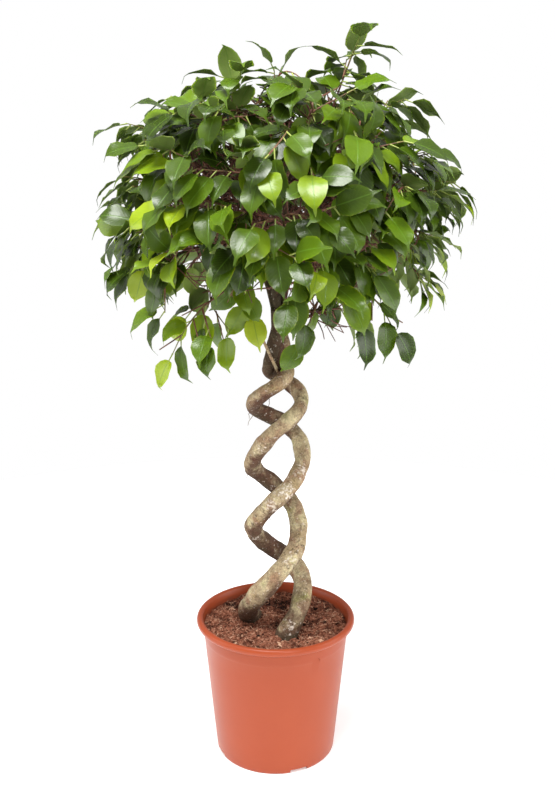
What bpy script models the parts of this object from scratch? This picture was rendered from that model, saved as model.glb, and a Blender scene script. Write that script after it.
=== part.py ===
"""Weeping fig grown as a spiral standard, in a nursery pot.

Two woody stems are wound round each other in a right-handed double helix and stand in the soil of a
turned plastic pot. Each stem ends in limbs, the limbs in branchlets, and each branchlet carries one
leafy spray: a drooping twig with a side twig and hanging, drip-tipped leaves.
Metres, +Z up. The origin is the centre of the pot's foot, and the plant's front looks along -Y.
"""

import bpy
import numpy as np
from mathutils.bvhtree import BVHTree

# Pot: a tapering wall, a collar that stands a step proud of it, and a rolled rim
POT_HEIGHT = 0.190
RIM_RADIUS = 0.105
RIM_DROP = 0.0100
RIM_HALF_WIDTH = 0.0045
RIM_ARC = (-110.0, 150.0)
RIM_POINTS = 5
COLLAR_RADIUS = 0.0968
COLLAR_FOOT_RADIUS = 0.0954
COLLAR_FOOT = 0.163
STEP_DEPTH = 0.0004
STEP_HEIGHT = 0.002
WALL = 0.0018
POT_SIDES = 28

# Pot's floor: a foot ring and a centre pad at the ground, with a drainage channel between them
FOOT_RADIUS = 0.0800
FOOT_HEIGHT = 0.005
FOOT_BEVEL = 0.0015
FOOT_WIDTH = 0.003
PAD_RADIUS = 0.030
CHANNEL_HEIGHT = 0.0035
FLOOR_TOP = 0.0055
NOTCH_WIDTH = 0.024
NOTCH_INWARDS, NOTCH_OUTWARDS = 0.012, 0.008
NOTCH_HEIGHT = 0.0044
FIRST_NOTCH = -67.0
NOTCHES = 4
DRAIN_RADIUS = 0.006
DRAIN_CIRCLE = 0.055
DRAIN_SIDES = 10
DRAINS = 4
CUT_PAST = 0.004

# Soil: low swells, and a hollow behind the stems
SOIL_TOP = 0.177
SOIL_SWELL = 0.0018
# Each swell's share of SOIL_SWELL, its rates along X and Y in radians per metre, and its phase
SWELLS = ((0.5, 61.0, 53.0, 1.0), (0.5, 61.0, -53.0, 1.0), (0.6, 31.0, 97.0, 0.0))
SOIL_RINGS = (0.82, 0.58, 0.30)
HOLLOW_X, HOLLOW_Y = 0.005, 0.045
HOLLOW_RADIUS = 0.022
HOLLOW_DEPTH = 0.004
HOLE_REACH = 0.060
HOLE_GAP = 0.0006
GAP = 0.0003

# The two wound stems: turn in degrees from +X, height, distance from the axis of the twist
TWIST_AXIS_X = 0.0035
LEFT_STEM = (
    (140, 0.168, 0.044), (170, 0.188, 0.0405), (200, 0.208, 0.040), (230, 0.232, 0.0385),
    (270, 0.264, 0.036), (360, 0.3135, 0.0265), (450, 0.356, 0.031), (495, 0.378, 0.0335),
    (540, 0.400, 0.033), (585, 0.428, 0.0310), (630, 0.455, 0.033), (720, 0.486, 0.0295),
    (810, 0.509, 0.0215), (900, 0.531, 0.0100), (950, 0.553, 0.0100), (980, 0.575, 0.0100),
)
RIGHT_STEM = (
    (284, 0.176, 0.036), (360, 0.233, 0.0325), (405, 0.249, 0.0320), (450, 0.2655, 0.034),
    (495, 0.287, 0.0300), (540, 0.311, 0.0325), (585, 0.338, 0.0295), (630, 0.364, 0.033),
    (720, 0.411, 0.0315), (810, 0.449, 0.034), (855, 0.4635, 0.0360), (900, 0.480, 0.0315),
    (990, 0.510, 0.0215), (1080, 0.531, 0.0100), (1130, 0.553, 0.0100), (1160, 0.575, 0.0100),
)
TURN_STEP = 30.0
STEM_SIDES = 7
STEM_TOP = 0.605
STEM_TOP_BEND = 0.010
STEM_TOP_AHEAD, STEM_TOP_OUT = 0.40, 0.35
KNEE, HEEL, FOOT = 0.0165, 0.0165, 0.022
HEEL_LEAN = 0.35

# Height against stem radius, as the stems taper, and the swells along them as a share of the radius
STEM_TAPER = (
    (0.10, 0.0136), (0.176, 0.0134), (0.31, 0.0116), (0.45, 0.0100), (0.53, 0.0088), (0.61, 0.0072),
)
BARK_SWELL = 0.05
SWELLS_PER_METRE = 30.0

# Crown: the twigs' tips lie on a squared-off dome round its centre
CROWN_CENTRE = np.array((0.002, 0.0, 0.700))
CROWN_REACH = 0.190
CROWN_RISE = 0.177
CROWN_SQUARENESS = 2.6
GOLDEN_ANGLE = 137.508
SPRAYS = 40
LOWEST_SPRAY = -25.0
FIRST_SPRAY_TURN = 20.0
ROOT_SHARE = 0.66
ROOT_LIFT = 0.20
SWAY = 0.030
# The tips draw in by this share, from this rise in degrees down over that many degrees
TAPER, TAPER_FROM, TAPER_OVER = 0.12, 10.0, 30.0

# Wood in the crown: limbs run from the stems' tops to hubs, and branchlets from there to the sprays
HUBS = 10
HUB_SHARE = 0.46
LOWEST_HUB = -8.0
FIRST_HUB_TURN = 75.0
HUB_PARTING = 0.018
ROOT_PARTING = 0.006
LIMB_RADII = (0.0046, 0.0026)
LIMB_SIDES = 4
LIMB_RISE, LIMB_RISE_SHARE, LIMB_REACH_SHARE = 0.012, 0.55, 0.15
LIMB_FORKS = 0.9
# A low limb that leaves the right stem under the crown
LOW_LIMB = ((0.006, 0.008, 0.570), (0.024, 0.004, 0.588), (0.044, -0.004, 0.598), (0.070, -0.010, 0.600))
LOW_LIMB_RADII = (0.0034, 0.0018)
BRANCHLET_RADII = (0.0023, 0.0016)
BRANCHLET_BOW = 0.10
BRANCHLET_STEP = 0.09
TWIG_SIDES = 3
TWIG_RADII = (0.0016, 0.0012)
TWIG_ARCH = 0.62
TWIG_AHEAD, TWIG_UP = 0.60, 0.45
SIDE_TWIG_RADII = (0.0013, 0.0011)
SIDE_TWIG = 0.052
SIDE_TWIG_START = 0.36
SIDE_OUT, SIDE_ALONG, SIDE_DOWN = 0.60, 0.30, 0.25

# Stray shoots that leave the dome: turn and rise in degrees, reach as a share of the dome
STRAY_SHOOTS = {
    "low_left": (226.0, -38.0, 1.08),
    "low_right": (324.0, -33.0, 0.98),
    "over_trunk": (302.0, -60.0, 0.62),
    "under_left": (228.0, -54.0, 0.74),
    "high_right": (350.0, 66.0, 1.24),
    "high_left": (177.0, 34.0, 1.09),
    "far_right": (358.0, 14.0, 1.13),
    "top": (100.0, 84.0, 1.04),
    "right_shoulder": (8.0, 44.0, 1.09),
}

# Leaves: sizes in metres, and the outline as shares of the blade's length and half width
PETIOLE = 0.011
PETIOLE_RADIUS = 0.0009
FOOT_SHARE = 0.5
BLADE_LENGTH = 0.050
BLADE_HALF_WIDTH = 0.0148
BLADE_THICK = 0.0018
OUTLINE = ((0.12, 0.76), (0.40, 1.0), (0.70, 0.48))
RIDGE = 0.38
LEAF_FOLD = 0.16
LEAF_WAVE = 0.0018
LEAVES_ON_TWIG = (0.32, 0.56, 0.79, 1.0)
LEAVES_ON_SIDE = (0.38, 0.70, 1.0)
LEAF_WAVES = 7.0
SUNK = 0.002

# How a leaf is set: the ranges of its draws, and its lean along the twig, to a side and outwards
SEED = 41
SIZES = (0.78, 1.08)
BENDS = (0.25, 0.85)
DROOPS = (0.25, 1.00)
LESS_DROOP_ON_TOP = 0.50
ROLLS = (-0.5, 0.5)
STRAY = 0.16
LEAN_ALONG, LEAN_ASIDE, LEAN_OUT = 0.50, 0.55, 0.75
FACE_OUT, FACE_UP = 0.9, 0.55
CLEARANCE = 0.0006
TRIES = 24
TRY_TURN = 0.09
TRY_DROOP = 0.8

COLOURS = {
    "pot": ((0.68, 0.135, 0.055, 1), 0.42),
    "soil": ((0.075, 0.028, 0.016, 1), 0.95),
    "bark": ((0.27, 0.20, 0.12, 1), 0.85),
    "leaf": ((0.045, 0.155, 0.012, 1), 0.35),
}
DOWN = np.array((0.0, 0.0, -1.0))


def unit(vector):
    return vector / np.linalg.norm(vector)


def smooth(at, knots, values):
    """Cubic through the knots, with each knot's slope taken from its two neighbours."""
    knots, values = np.asarray(knots, float), np.asarray(values, float)
    slopes = np.gradient(values, knots)
    i = np.clip(np.searchsorted(knots, at) - 1, 0, len(knots) - 2)
    span = knots[i + 1] - knots[i]
    t = (at - knots[i]) / span
    return (
        (2 * t**3 - 3 * t**2 + 1) * values[i]
        + (t**3 - 2 * t**2 + t) * span * slopes[i]
        + (3 * t**2 - 2 * t**3) * values[i + 1]
        + (t**3 - t**2) * span * slopes[i + 1]
    )


def bezier(start, pull, end, count):
    """Points on the quadratic curve that leaves start towards pull and ends at end."""
    t = np.linspace(0.0, 1.0, count)[:, None]
    return (1 - t) ** 2 * start + 2 * t * (1 - t) * pull + t**2 * end


def material(name):
    colour, roughness = COLOURS[name]
    made = bpy.data.materials.new(name)
    made.use_nodes = True
    shader = made.node_tree.nodes["Principled BSDF"]
    shader.inputs["Base Color"].default_value = colour
    shader.inputs["Roughness"].default_value = roughness
    made.diffuse_color = colour
    return made


def add_object(name, points, faces, finish, collection=None):
    mesh = bpy.data.meshes.new(name)
    mesh.from_pydata([tuple(p) for p in points], [], faces)
    mesh.update()
    mesh.materials.append(finish)
    obj = bpy.data.objects.new(name, mesh)
    (collection or bpy.context.scene.collection).objects.link(obj)
    return obj


def as_cutter(obj):
    obj.hide_render = True
    obj.display_type = "WIRE"
    return obj


def cut(obj, cutter):
    modifier = obj.modifiers.new("Cut_" + cutter.name, "BOOLEAN")
    modifier.operation = "DIFFERENCE"
    modifier.solver = "EXACT"
    modifier.object = as_cutter(cutter)


def new_collection(name):
    collection = bpy.data.collections.new(name)
    bpy.context.scene.collection.children.link(collection)
    return collection


def fuse(obj, collection):
    """Joins the collection's objects to obj in one Boolean union, then removes them."""
    modifier = obj.modifiers.new("Fuse", "BOOLEAN")
    modifier.operation = "UNION"
    modifier.solver = "EXACT"
    modifier.operand_type = "COLLECTION"
    modifier.collection = collection
    graph = bpy.context.evaluated_depsgraph_get()
    joined = bpy.data.meshes.new_from_object(obj.evaluated_get(graph))
    obj.modifiers.clear()
    obj.data = joined
    joined.name = obj.name
    for part in list(collection.objects):
        bpy.data.objects.remove(part)
    bpy.data.collections.remove(collection)


# Turned pieces


def turned(profile, sides):
    """A closed body of revolution: the profile runs from the axis round and back to the axis."""
    angle = np.arange(sides) * 2 * np.pi / sides
    points, rings = [], []
    for radius, height in profile:
        if radius == 0:
            rings.append([len(points)] * sides)
            points.append((0.0, 0.0, height))
        else:
            rings.append(list(range(len(points), len(points) + sides)))
            points += [(radius * np.cos(a), radius * np.sin(a), height) for a in angle]
    faces = []
    for low, high in zip(rings, rings[1:]):
        for i in range(sides):
            j = (i + 1) % sides
            corners = [low[i], low[j], high[j], high[i]]
            faces.append([c for n, c in enumerate(corners) if c not in corners[:n]])
    return points, faces


def outer_wall(height):
    """The pot's outer radius at a height on the taper or, above COLLAR_FOOT, on the collar."""
    if height >= COLLAR_FOOT:
        share = (height - COLLAR_FOOT) / (POT_HEIGHT - RIM_DROP - COLLAR_FOOT)
        return COLLAR_FOOT_RADIUS + share * (COLLAR_RADIUS - COLLAR_FOOT_RADIUS)
    share = (height - FOOT_HEIGHT) / (COLLAR_FOOT - FOOT_HEIGHT)
    return FOOT_RADIUS + share * (COLLAR_FOOT_RADIUS - STEP_DEPTH - FOOT_RADIUS)


def inner_wall(height):
    return outer_wall(height) - WALL


def rim_arc():
    """The rolled rim: an arc of an ellipse from under its outer edge, over the top, to its inner edge."""
    angle = np.radians(np.linspace(*RIM_ARC, RIM_POINTS))
    radius = RIM_RADIUS - RIM_HALF_WIDTH + RIM_HALF_WIDTH * np.cos(angle)
    height = POT_HEIGHT - 0.5 * RIM_DROP * (1 - np.sin(angle))
    return list(zip(radius, height))


def build_pot(finish):
    rim_low, step_low = POT_HEIGHT - RIM_DROP, COLLAR_FOOT - STEP_HEIGHT
    profile = [
        (0.0, 0.0),
        (PAD_RADIUS, 0.0),
        (PAD_RADIUS + FOOT_BEVEL, CHANNEL_HEIGHT),
        (FOOT_RADIUS - 2 * FOOT_BEVEL - FOOT_WIDTH, CHANNEL_HEIGHT),
        (FOOT_RADIUS - FOOT_BEVEL - FOOT_WIDTH, 0.0),
        (FOOT_RADIUS - FOOT_BEVEL, 0.0),
        (FOOT_RADIUS, FOOT_HEIGHT),
        (outer_wall(step_low), step_low),
        (COLLAR_FOOT_RADIUS, COLLAR_FOOT),
        (COLLAR_RADIUS, rim_low),
    ]
    profile += rim_arc()
    profile += [(inner_wall(height), height) for height in (rim_low, COLLAR_FOOT, step_low, FLOOR_TOP)]
    points, faces = turned(profile + [(0.0, FLOOR_TOP)], POT_SIDES)
    pot = add_object("pot", points, faces, finish)
    for n in range(NOTCHES):
        turn = np.radians(FIRST_NOTCH - 90 + n * 360 / NOTCHES)
        cut(pot, notch_cutter(f"notch_{n}", turn, finish))
    for n in range(DRAINS):
        turn = np.radians(FIRST_NOTCH - 45 + n * 360 / DRAINS)
        cut(pot, drain_cutter(f"drain_{n}", turn, finish))
    pot.data.shade_smooth()
    pot.data.set_sharp_from_angle(angle=np.radians(40))
    return pot


def prism_between(low, high):
    """The closed body between two like rings of points, the low one seen anticlockwise from above."""
    sides = len(low)
    faces = [tuple(range(sides))[::-1], tuple(range(sides, 2 * sides))]
    faces += [(i, (i + 1) % sides, sides + (i + 1) % sides, sides + i) for i in range(sides)]
    return list(low) + list(high), faces


def notch_cutter(name, turn, finish):
    """A block that takes a notch out of the foot ring, square to the radius."""
    out, along = np.array((np.cos(turn), np.sin(turn))), np.array((-np.sin(turn), np.cos(turn)))
    near, far = FOOT_RADIUS - NOTCH_INWARDS, FOOT_RADIUS + NOTCH_OUTWARDS
    half = 0.5 * NOTCH_WIDTH
    plan = [out * a + along * b for a, b in ((near, -half), (far, -half), (far, half), (near, half))]
    rings = [[(x, y, z) for x, y in plan] for z in (-CUT_PAST, NOTCH_HEIGHT)]
    return add_object(name, *prism_between(*rings), finish)


def drain_cutter(name, turn, finish):
    angle = np.arange(DRAIN_SIDES) * 2 * np.pi / DRAIN_SIDES
    x = DRAIN_CIRCLE * np.cos(turn) + DRAIN_RADIUS * np.cos(angle)
    y = DRAIN_CIRCLE * np.sin(turn) + DRAIN_RADIUS * np.sin(angle)
    rings = [[(a, b, z) for a, b in zip(x, y)] for z in (-CUT_PAST, FLOOR_TOP + CUT_PAST)]
    return add_object(name, *prism_between(*rings), finish)


def soil_height(x, y):
    swell = sum(share * np.sin(along * x + aside * y + phase) for share, along, aside, phase in SWELLS)
    hollow = np.exp(-((x - HOLLOW_X) ** 2 + (y - HOLLOW_Y) ** 2) / HOLLOW_RADIUS**2)
    return SOIL_TOP + SOIL_SWELL * swell - HOLLOW_DEPTH * hollow


def build_soil(finish, stems):
    """Fills the pot GAP inside its wall; each buried stem has a hole of its own shape."""
    floor, step_low = FLOOR_TOP + GAP, COLLAR_FOOT - STEP_HEIGHT
    profile = [(0.0, floor)]
    profile += [(inner_wall(height) - GAP, height) for height in (floor, step_low, COLLAR_FOOT, SOIL_TOP)]
    edge = profile[-1][0]
    profile += [(share * edge, SOIL_TOP) for share in SOIL_RINGS] + [(0.0, SOIL_TOP)]
    points, faces = turned(profile, POT_SIDES)
    swollen = [
        (x, y, soil_height(x, y)) if z == SOIL_TOP and np.hypot(x, y) < 0.99 * edge else (x, y, z)
        for x, y, z in points
    ]
    soil = add_object("soil", swollen, faces, finish)
    for name, (path, radii) in stems.items():
        buried = path[:, 2] < SOIL_TOP + HOLE_REACH
        hole = path[buried].copy()
        hole[0] += DOWN * HOLE_GAP
        points, faces = tube(hole, radii[buried] + HOLE_GAP, STEM_SIDES, split=True)
        cut(soil, add_object("hole_" + name, points, faces, finish))
    return soil


# Wood


def tube(path, radii, sides, corner=(1.0, 0.0, 0.0), heading=None, split=False):
    """A tube with flat ends. Its first ring has a corner towards the one given, and the rings after
    it stand square to the path and are carried on without twist. The first ring stands square to
    the heading, if one is given. Split tubes are all triangles."""
    path = np.asarray(path, float)
    tangent = np.gradient(path, axis=0)
    tangent /= np.linalg.norm(tangent, axis=1)[:, None]
    if heading is not None:
        tangent[0] = heading
    normal = np.asarray(corner)
    angle = np.arange(sides) * 2 * np.pi / sides
    points = []
    for centre, along, radius in zip(path, tangent, radii):
        normal = unit(normal - along * (normal @ along))
        across = np.cross(along, normal)
        ring = centre + radius * (np.cos(angle)[:, None] * normal + np.sin(angle)[:, None] * across)
        points += list(ring)
    faces = [tuple(range(sides))[::-1]]
    for k in range(len(path) - 1):
        for i in range(sides):
            j = (i + 1) % sides
            a, b, c, d = k * sides + i, k * sides + j, (k + 1) * sides + j, (k + 1) * sides + i
            faces += [(a, b, c), (a, c, d)] if split else [(a, b, c, d)]
    faces.append(tuple(range((len(path) - 1) * sides, len(path) * sides)))
    return points, faces


def stem_path(rows):
    """The buried foot, which curves down from the helix, then the helix and a top that leans outwards."""
    turn, height, reach = np.array(rows).T
    at = np.arange(turn[0], turn[-1] + 0.1, TURN_STEP)
    z, r, angle = smooth(at, turn, height), smooth(at, turn, reach), np.radians(at)
    helix = np.stack([TWIST_AXIS_X + r * np.cos(angle), r * np.sin(angle), z], 1)
    back = unit(helix[0] - helix[1])
    knee = helix[0] + KNEE * unit(DOWN + back)
    heel = knee + HEEL * unit(DOWN + HEEL_LEAN * back)
    foot = np.array((heel + FOOT * DOWN, heel, knee))
    end, heading = helix[-1], unit(helix[-1] - helix[-2])
    outward = unit(end - (TWIST_AXIS_X, 0, end[2]))
    peak = end + (STEM_TOP - end[2]) * unit(STEM_TOP_AHEAD * heading + STEM_TOP_OUT * outward - DOWN)
    path = np.vstack([foot, helix, bezier(end, end + STEM_TOP_BEND * heading, peak, 4)[1:]])
    swell = 1 + BARK_SWELL * np.sin(2 * np.pi * SWELLS_PER_METRE * path[:, 2] + np.radians(turn[0]))
    return path, smooth(path[:, 2], *zip(*STEM_TAPER)) * swell


def dome(turn, rise, share):
    """The point on the crown's dome at a turn and rise in degrees, at a share of its reach."""
    t, e = np.radians(turn), np.radians(rise)
    power = CROWN_SQUARENESS
    reach = ((np.cos(e) / CROWN_REACH) ** power + (abs(np.sin(e)) / CROWN_RISE) ** power) ** (-1 / power)
    heading = np.array((np.cos(e) * np.cos(t), np.cos(e) * np.sin(t), np.sin(e)))
    return CROWN_CENTRE + share * reach * heading


def spread(count, lowest, offset):
    """Turns and rises of count points set evenly over the dome by the golden angle."""
    n = np.arange(count) + 0.5
    low = np.sin(np.radians(lowest))
    rise = np.degrees(np.arcsin(1 - n / count * (1 - low)))
    return (n * GOLDEN_ANGLE + offset) % 360, rise


def side_of(point):
    """Which stem carries a point: -1 for the left one, 1 for the right."""
    return 1.0 if point[0] > TWIST_AXIS_X else -1.0


def kept_aside(point, side, parting):
    """The point, moved along X where it would be nearer than parting to the plane between the stems."""
    x = TWIST_AXIS_X + side * max((point[0] - TWIST_AXIS_X) * side, parting)
    return np.array((x, point[1], point[2]))


def plan_crown():
    """The hubs, and for each spray its tip, its root, its hub and the side of its stem."""
    hubs = [dome(t, r, HUB_SHARE) for t, r in zip(*spread(HUBS, LOWEST_HUB, FIRST_HUB_TURN))]
    hubs = [kept_aside(hub, side_of(hub), HUB_PARTING) for hub in hubs]
    turns, rises = spread(SPRAYS, LOWEST_SPRAY, FIRST_SPRAY_TURN)
    shares = 1.0 - TAPER * np.clip((TAPER_FROM - rises) / TAPER_OVER, 0.0, 1.0)
    tips = [dome(*place) for place in zip(turns, rises, shares)]
    tips += [dome(*shoot) for shoot in STRAY_SHOOTS.values()]
    plan = []
    for n, tip in enumerate(tips):
        side, out = side_of(tip), tip - CROWN_CENTRE
        own = [hub for hub in hubs if side_of(hub) == side]
        hub = min(own, key=lambda h: np.linalg.norm(2 * (h - CROWN_CENTRE) - out))
        root = CROWN_CENTRE + ROOT_SHARE * out + SWAY * (-1) ** n * unit(np.cross(out, DOWN))
        root[2] += ROOT_LIFT * max(0.0, -out[2])
        plan.append((tip, kept_aside(root, side, ROOT_PARTING), hub, side))
    return plan, hubs


def limb_curve(fork, hub):
    """Leaves the stem steeply and levels out to its hub."""
    rise = np.array((0.0, 0.0, LIMB_RISE_SHARE * (hub[2] - fork[2]) + LIMB_RISE))
    return bezier(fork, fork + rise + LIMB_REACH_SHARE * (hub - fork), hub, 4)


def branchlet_curve(start, root):
    """Bows slightly away from the crown's centre."""
    pull = 0.5 * (start + root) + BRANCHLET_BOW * (root - CROWN_CENTRE)
    return bezier(start, pull, root, 3)


def twig_curve(root, heading, tip):
    """Goes on from the branchlet, bends upwards and outwards, then arches over and droops to the tip."""
    start = root + GAP * heading
    rise = unit(heading + TWIG_AHEAD * unit(tip - root) - TWIG_UP * DOWN)
    return bezier(start, start + TWIG_ARCH * np.linalg.norm(tip - root) * rise, tip, 4)


def side_twig(twig, side):
    """A short straight twig that leaves the main one to one side, on its upper half."""
    start, tangent = point_on(twig, SIDE_TWIG_START)
    out = unit(start - CROWN_CENTRE)
    across = unit(np.cross(out, DOWN))
    heading = SIDE_OUT * out + SIDE_ALONG * tangent + side * across + SIDE_DOWN * DOWN
    return np.array((start, start + SIDE_TWIG * unit(heading)))


# Leaves


class Leaf:
    """A straight petiole, then a drip-tipped blade that bends down and is ridged along its midrib."""

    PETIOLE_FACES = 4

    def __init__(self, root, along, face, size, bend, phase):
        self.root, self.size, self.bend, self.phase = root, size, bend, phase
        self.y = unit(along)
        self.z = unit(face - self.y * (face @ self.y))
        self.x = np.cross(self.y, self.z)

    def on_petiole(self, share, across, lift):
        return self.root + share * self.size * PETIOLE * self.y + across * self.x + lift * self.z

    def on_blade(self, s, across, lift):
        """A point s along the blade's bent midline, across the midrib and lifted off it."""
        turn, length = self.bend * s, self.size * BLADE_LENGTH
        ahead = self.size * PETIOLE + length * np.sin(turn) / self.bend + lift * np.sin(turn)
        drop = length * (1 - np.cos(turn)) / self.bend - lift * np.cos(turn)
        return self.root + across * self.x + ahead * self.y - drop * self.z

    def edge(self, side, share, width, grow):
        """A point of the blade's folded, wavy edge."""
        across = width * (self.size * BLADE_HALF_WIDTH + grow)
        wave = LEAF_WAVE * np.sin(self.phase + LEAF_WAVES * share + side)
        return self.on_blade(share, side * across, LEAF_FOLD * across + wave)

    def mesh(self, grow=0.0):
        """A blade fanned from a ridge point on each face, then the three-sided petiole's faces."""
        corners = PETIOLE_RADIUS * np.array(((-1.0, 0.5), (1.0, 0.5), (0.0, -1.0)))
        left, right, under = (self.on_petiole(1, *corner) for corner in corners)
        foot = [self.on_petiole(0, *(FOOT_SHARE * corner)) for corner in corners]
        rim = [left] + [self.edge(-1, *row, grow) for row in OUTLINE] + [self.on_blade(1, 0, 0)]
        rim += [self.edge(1, *row, grow) for row in reversed(OUTLINE)] + [right]
        thick = 0.5 * BLADE_THICK + grow
        points = rim + [under, self.on_blade(RIDGE, 0, thick), self.on_blade(RIDGE, 0, -thick)] + foot
        last = len(rim) - 1
        low, up, down = last + 1, last + 2, last + 3
        a, b, c = last + 4, last + 5, last + 6
        faces = [(i + 1, i, up) for i in range(last)] + [(0, last, up)]
        faces += [(i, i + 1, down) for i in range(last)] + [(last, low, down), (low, 0, down)]
        faces += [(0, a, b, last), (last, b, c, low), (low, c, a, 0), (c, b, a)]
        return points, faces


class Thicket:
    """What has grown so far, for testing that a new leaf or twig stands clear of it."""

    def __init__(self):
        self.grown = []

    def add(self, points, faces, owner):
        points = np.array(points)
        centre = 0.5 * (points.min(0) + points.max(0))
        radius = np.linalg.norm(points - centre, axis=1).max()
        tree = BVHTree.FromPolygons([tuple(p) for p in points], faces)
        self.grown.append((centre, radius, tree, owner))

    def is_clear(self, points, faces, wanted):
        """Whether the mesh crosses nothing that has grown on an owner that is wanted."""
        points = np.array(points)
        centre = 0.5 * (points.min(0) + points.max(0))
        radius = np.linalg.norm(points - centre, axis=1).max()
        tree = None
        for other, reach, grown, owner in self.grown:
            if not wanted(owner) or np.linalg.norm(other - centre) > radius + reach:
                continue
            tree = tree or BVHTree.FromPolygons([tuple(p) for p in points], faces)
            if tree.overlap(grown):
                return False
        return True


def grow_leaf(thicket, root, tangent, side, rng, name):
    """Turns a leaf until it stands clear of all that has grown, and gives up after TRIES turns.

    The petiole may enter its own spray's twigs, but the blade may not.
    """
    out = unit(root - CROWN_CENTRE)
    across, flat = unit(np.cross(tangent, out)), out * (1.0, 1.0, 0.0)
    size, bend, phase = rng.uniform(*SIZES), rng.uniform(*BENDS), rng.uniform(0, 2 * np.pi)
    droop, roll, stray = rng.uniform(*DROOPS), rng.uniform(*ROLLS), rng.normal(0, STRAY, 3)
    droop *= 1.0 - LESS_DROOP_ON_TOP * out[2]
    for attempt in range(TRIES):
        turn = TRY_TURN * attempt * (-1) ** attempt
        along = LEAN_ALONG * tangent + (LEAN_ASIDE * side + turn) * across + LEAN_OUT * flat + stray
        along += (droop + TRY_DROOP * abs(turn)) * DOWN
        face = FACE_OUT * out - FACE_UP * DOWN + (roll + turn) * across
        leaf = Leaf(root - SUNK * tangent, along, face, size, bend, phase)
        points, faces = leaf.mesh(grow=CLEARANCE)
        blade = faces[:-Leaf.PETIOLE_FACES]
        if thicket.is_clear(points, faces, lambda owner: owner != name) and thicket.is_clear(
                points, blade, lambda owner: owner == name):
            thicket.add(points, faces, "leaf")
            return leaf
    return None


def point_on(path, share):
    """The point and direction at a share of the path's points."""
    place = share * (len(path) - 1)
    k = min(int(place), len(path) - 2)
    step = path[k + 1] - path[k]
    return path[k] + (place - k) * step, unit(step)


# The whole plant


def grow_wood(name, parts, paths, thicket, finish):
    """Adds a tube for each path, with its end radii and sides, and notes it in the thicket."""
    for path, radii, sides in paths:
        thick = np.linspace(*radii, len(path))
        add_object(name + "_wood", *tube(path, thick, sides), finish, parts)
        thicket.add(*tube(path, thick + GAP, sides), name)


def build_stems(finish, plan, hubs):
    """Each stem's tube, with its limbs and branchlets fused on in one union.

    Also gives what has grown, and the heading in which each branchlet ends.
    """
    stems = {"stem_left": stem_path(LEFT_STEM), "stem_right": stem_path(RIGHT_STEM)}
    thicket, headings = Thicket(), {}
    for name, (path, radii) in stems.items():
        side = -1.0 if name == "stem_left" else 1.0
        stem = add_object(name, *tube(path, radii, STEM_SIDES, split=True), finish)
        thicket.add(*tube(path, radii + GAP, STEM_SIDES), name)
        own = sorted((tuple(hub) for hub in hubs if side_of(hub) == side), key=lambda h: h[2])
        forks = np.linspace(LIMB_FORKS, 0.0, len(own))[:, None] * (path[-3] - path[-1]) + path[-1]
        limbs = {hub: limb_curve(fork, np.array(hub)) for fork, hub in zip(forks, own)}
        wood = [(limb, LIMB_RADII, LIMB_SIDES) for limb in limbs.values()]
        if name == "stem_right":
            wood.append((np.array(LOW_LIMB), LOW_LIMB_RADII, LIMB_SIDES))
        served = dict.fromkeys(limbs, 0)
        for n, (_, root, hub, half) in enumerate(plan):
            if half != side:
                continue
            start, _ = point_on(limbs[tuple(hub)], 1.0 - BRANCHLET_STEP * served[tuple(hub)])
            served[tuple(hub)] += 1
            curve = branchlet_curve(start, root)
            headings[n] = unit(curve[-1] - curve[-2])
            wood.append((curve, BRANCHLET_RADII, TWIG_SIDES))
        parts = new_collection(name + "_parts")
        grow_wood(name, parts, wood, thicket, finish)
        fuse(stem, parts)
    return stems, thicket, headings


def grow_twigs(plan, thicket, headings):
    """The twigs of each spray: the main one, and a side twig where that has room."""
    sprays = {}
    for n, (tip, root, _, _) in enumerate(plan):
        name = f"spray_{n + 1:02d}"
        twig, side = twig_curve(root, headings[n], tip), (-1) ** n
        sprays[name] = []
        for path, radii, heading in ((twig, TWIG_RADII, headings[n]),
                                     (side_twig(twig, side), SIDE_TWIG_RADII, None)):
            up = unit(path[0] - CROWN_CENTRE) - DOWN
            points, faces = tube(path, np.linspace(*radii, len(path)), TWIG_SIDES, up, heading)
            if path is twig or thicket.is_clear(points, faces, lambda owner: owner != name):
                sprays[name].append((points, faces, path))
                thicket.add(points, faces, name)
    return sprays


def grow_leaves(sprays, thicket):
    """A round of leaves at a time over the whole crown, so that no spray crowds out another."""
    leaves = {name: [] for name in sprays}
    rounds = [(0, share) for share in reversed(LEAVES_ON_TWIG)]
    rounds += [(1, share) for share in reversed(LEAVES_ON_SIDE)]
    for turn, (shoot, share) in enumerate(rounds):
        for n, (name, twigs) in enumerate(sprays.items()):
            if shoot >= len(twigs):
                continue
            root, tangent = point_on(twigs[shoot][2], share)
            side = 0.0 if share == 1.0 else (-1.0) ** (turn + n)
            leaf = grow_leaf(thicket, root, tangent, side, np.random.default_rng((SEED, n, turn)), name)
            if leaf:
                leaves[name].append(leaf)
    return leaves


def build_sprays(finish, plan, thicket, headings):
    """Fuses each spray's leaves and side twigs to its main twig."""
    sprays = grow_twigs(plan, thicket, headings)
    leaves = grow_leaves(sprays, thicket)
    for name, twigs in sprays.items():
        points, faces, _ = twigs[0]
        spray = add_object(name, points, faces, finish)
        parts = new_collection(name + "_parts")
        for points, faces, _ in twigs[1:]:
            add_object("twig", points, faces, finish, parts)
        for leaf in leaves[name]:
            add_object("leaf", *leaf.mesh(), finish, parts)
        fuse(spray, parts)


def main():
    for obj in list(bpy.data.objects):
        bpy.data.objects.remove(obj)
    plastic, peat, bark, green = (material(name) for name in ("pot", "soil", "bark", "leaf"))
    plan, hubs = plan_crown()
    build_pot(plastic)
    stems, thicket, headings = build_stems(bark, plan, hubs)
    build_soil(peat, stems)
    build_sprays(green, plan, thicket, headings)


main()
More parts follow.
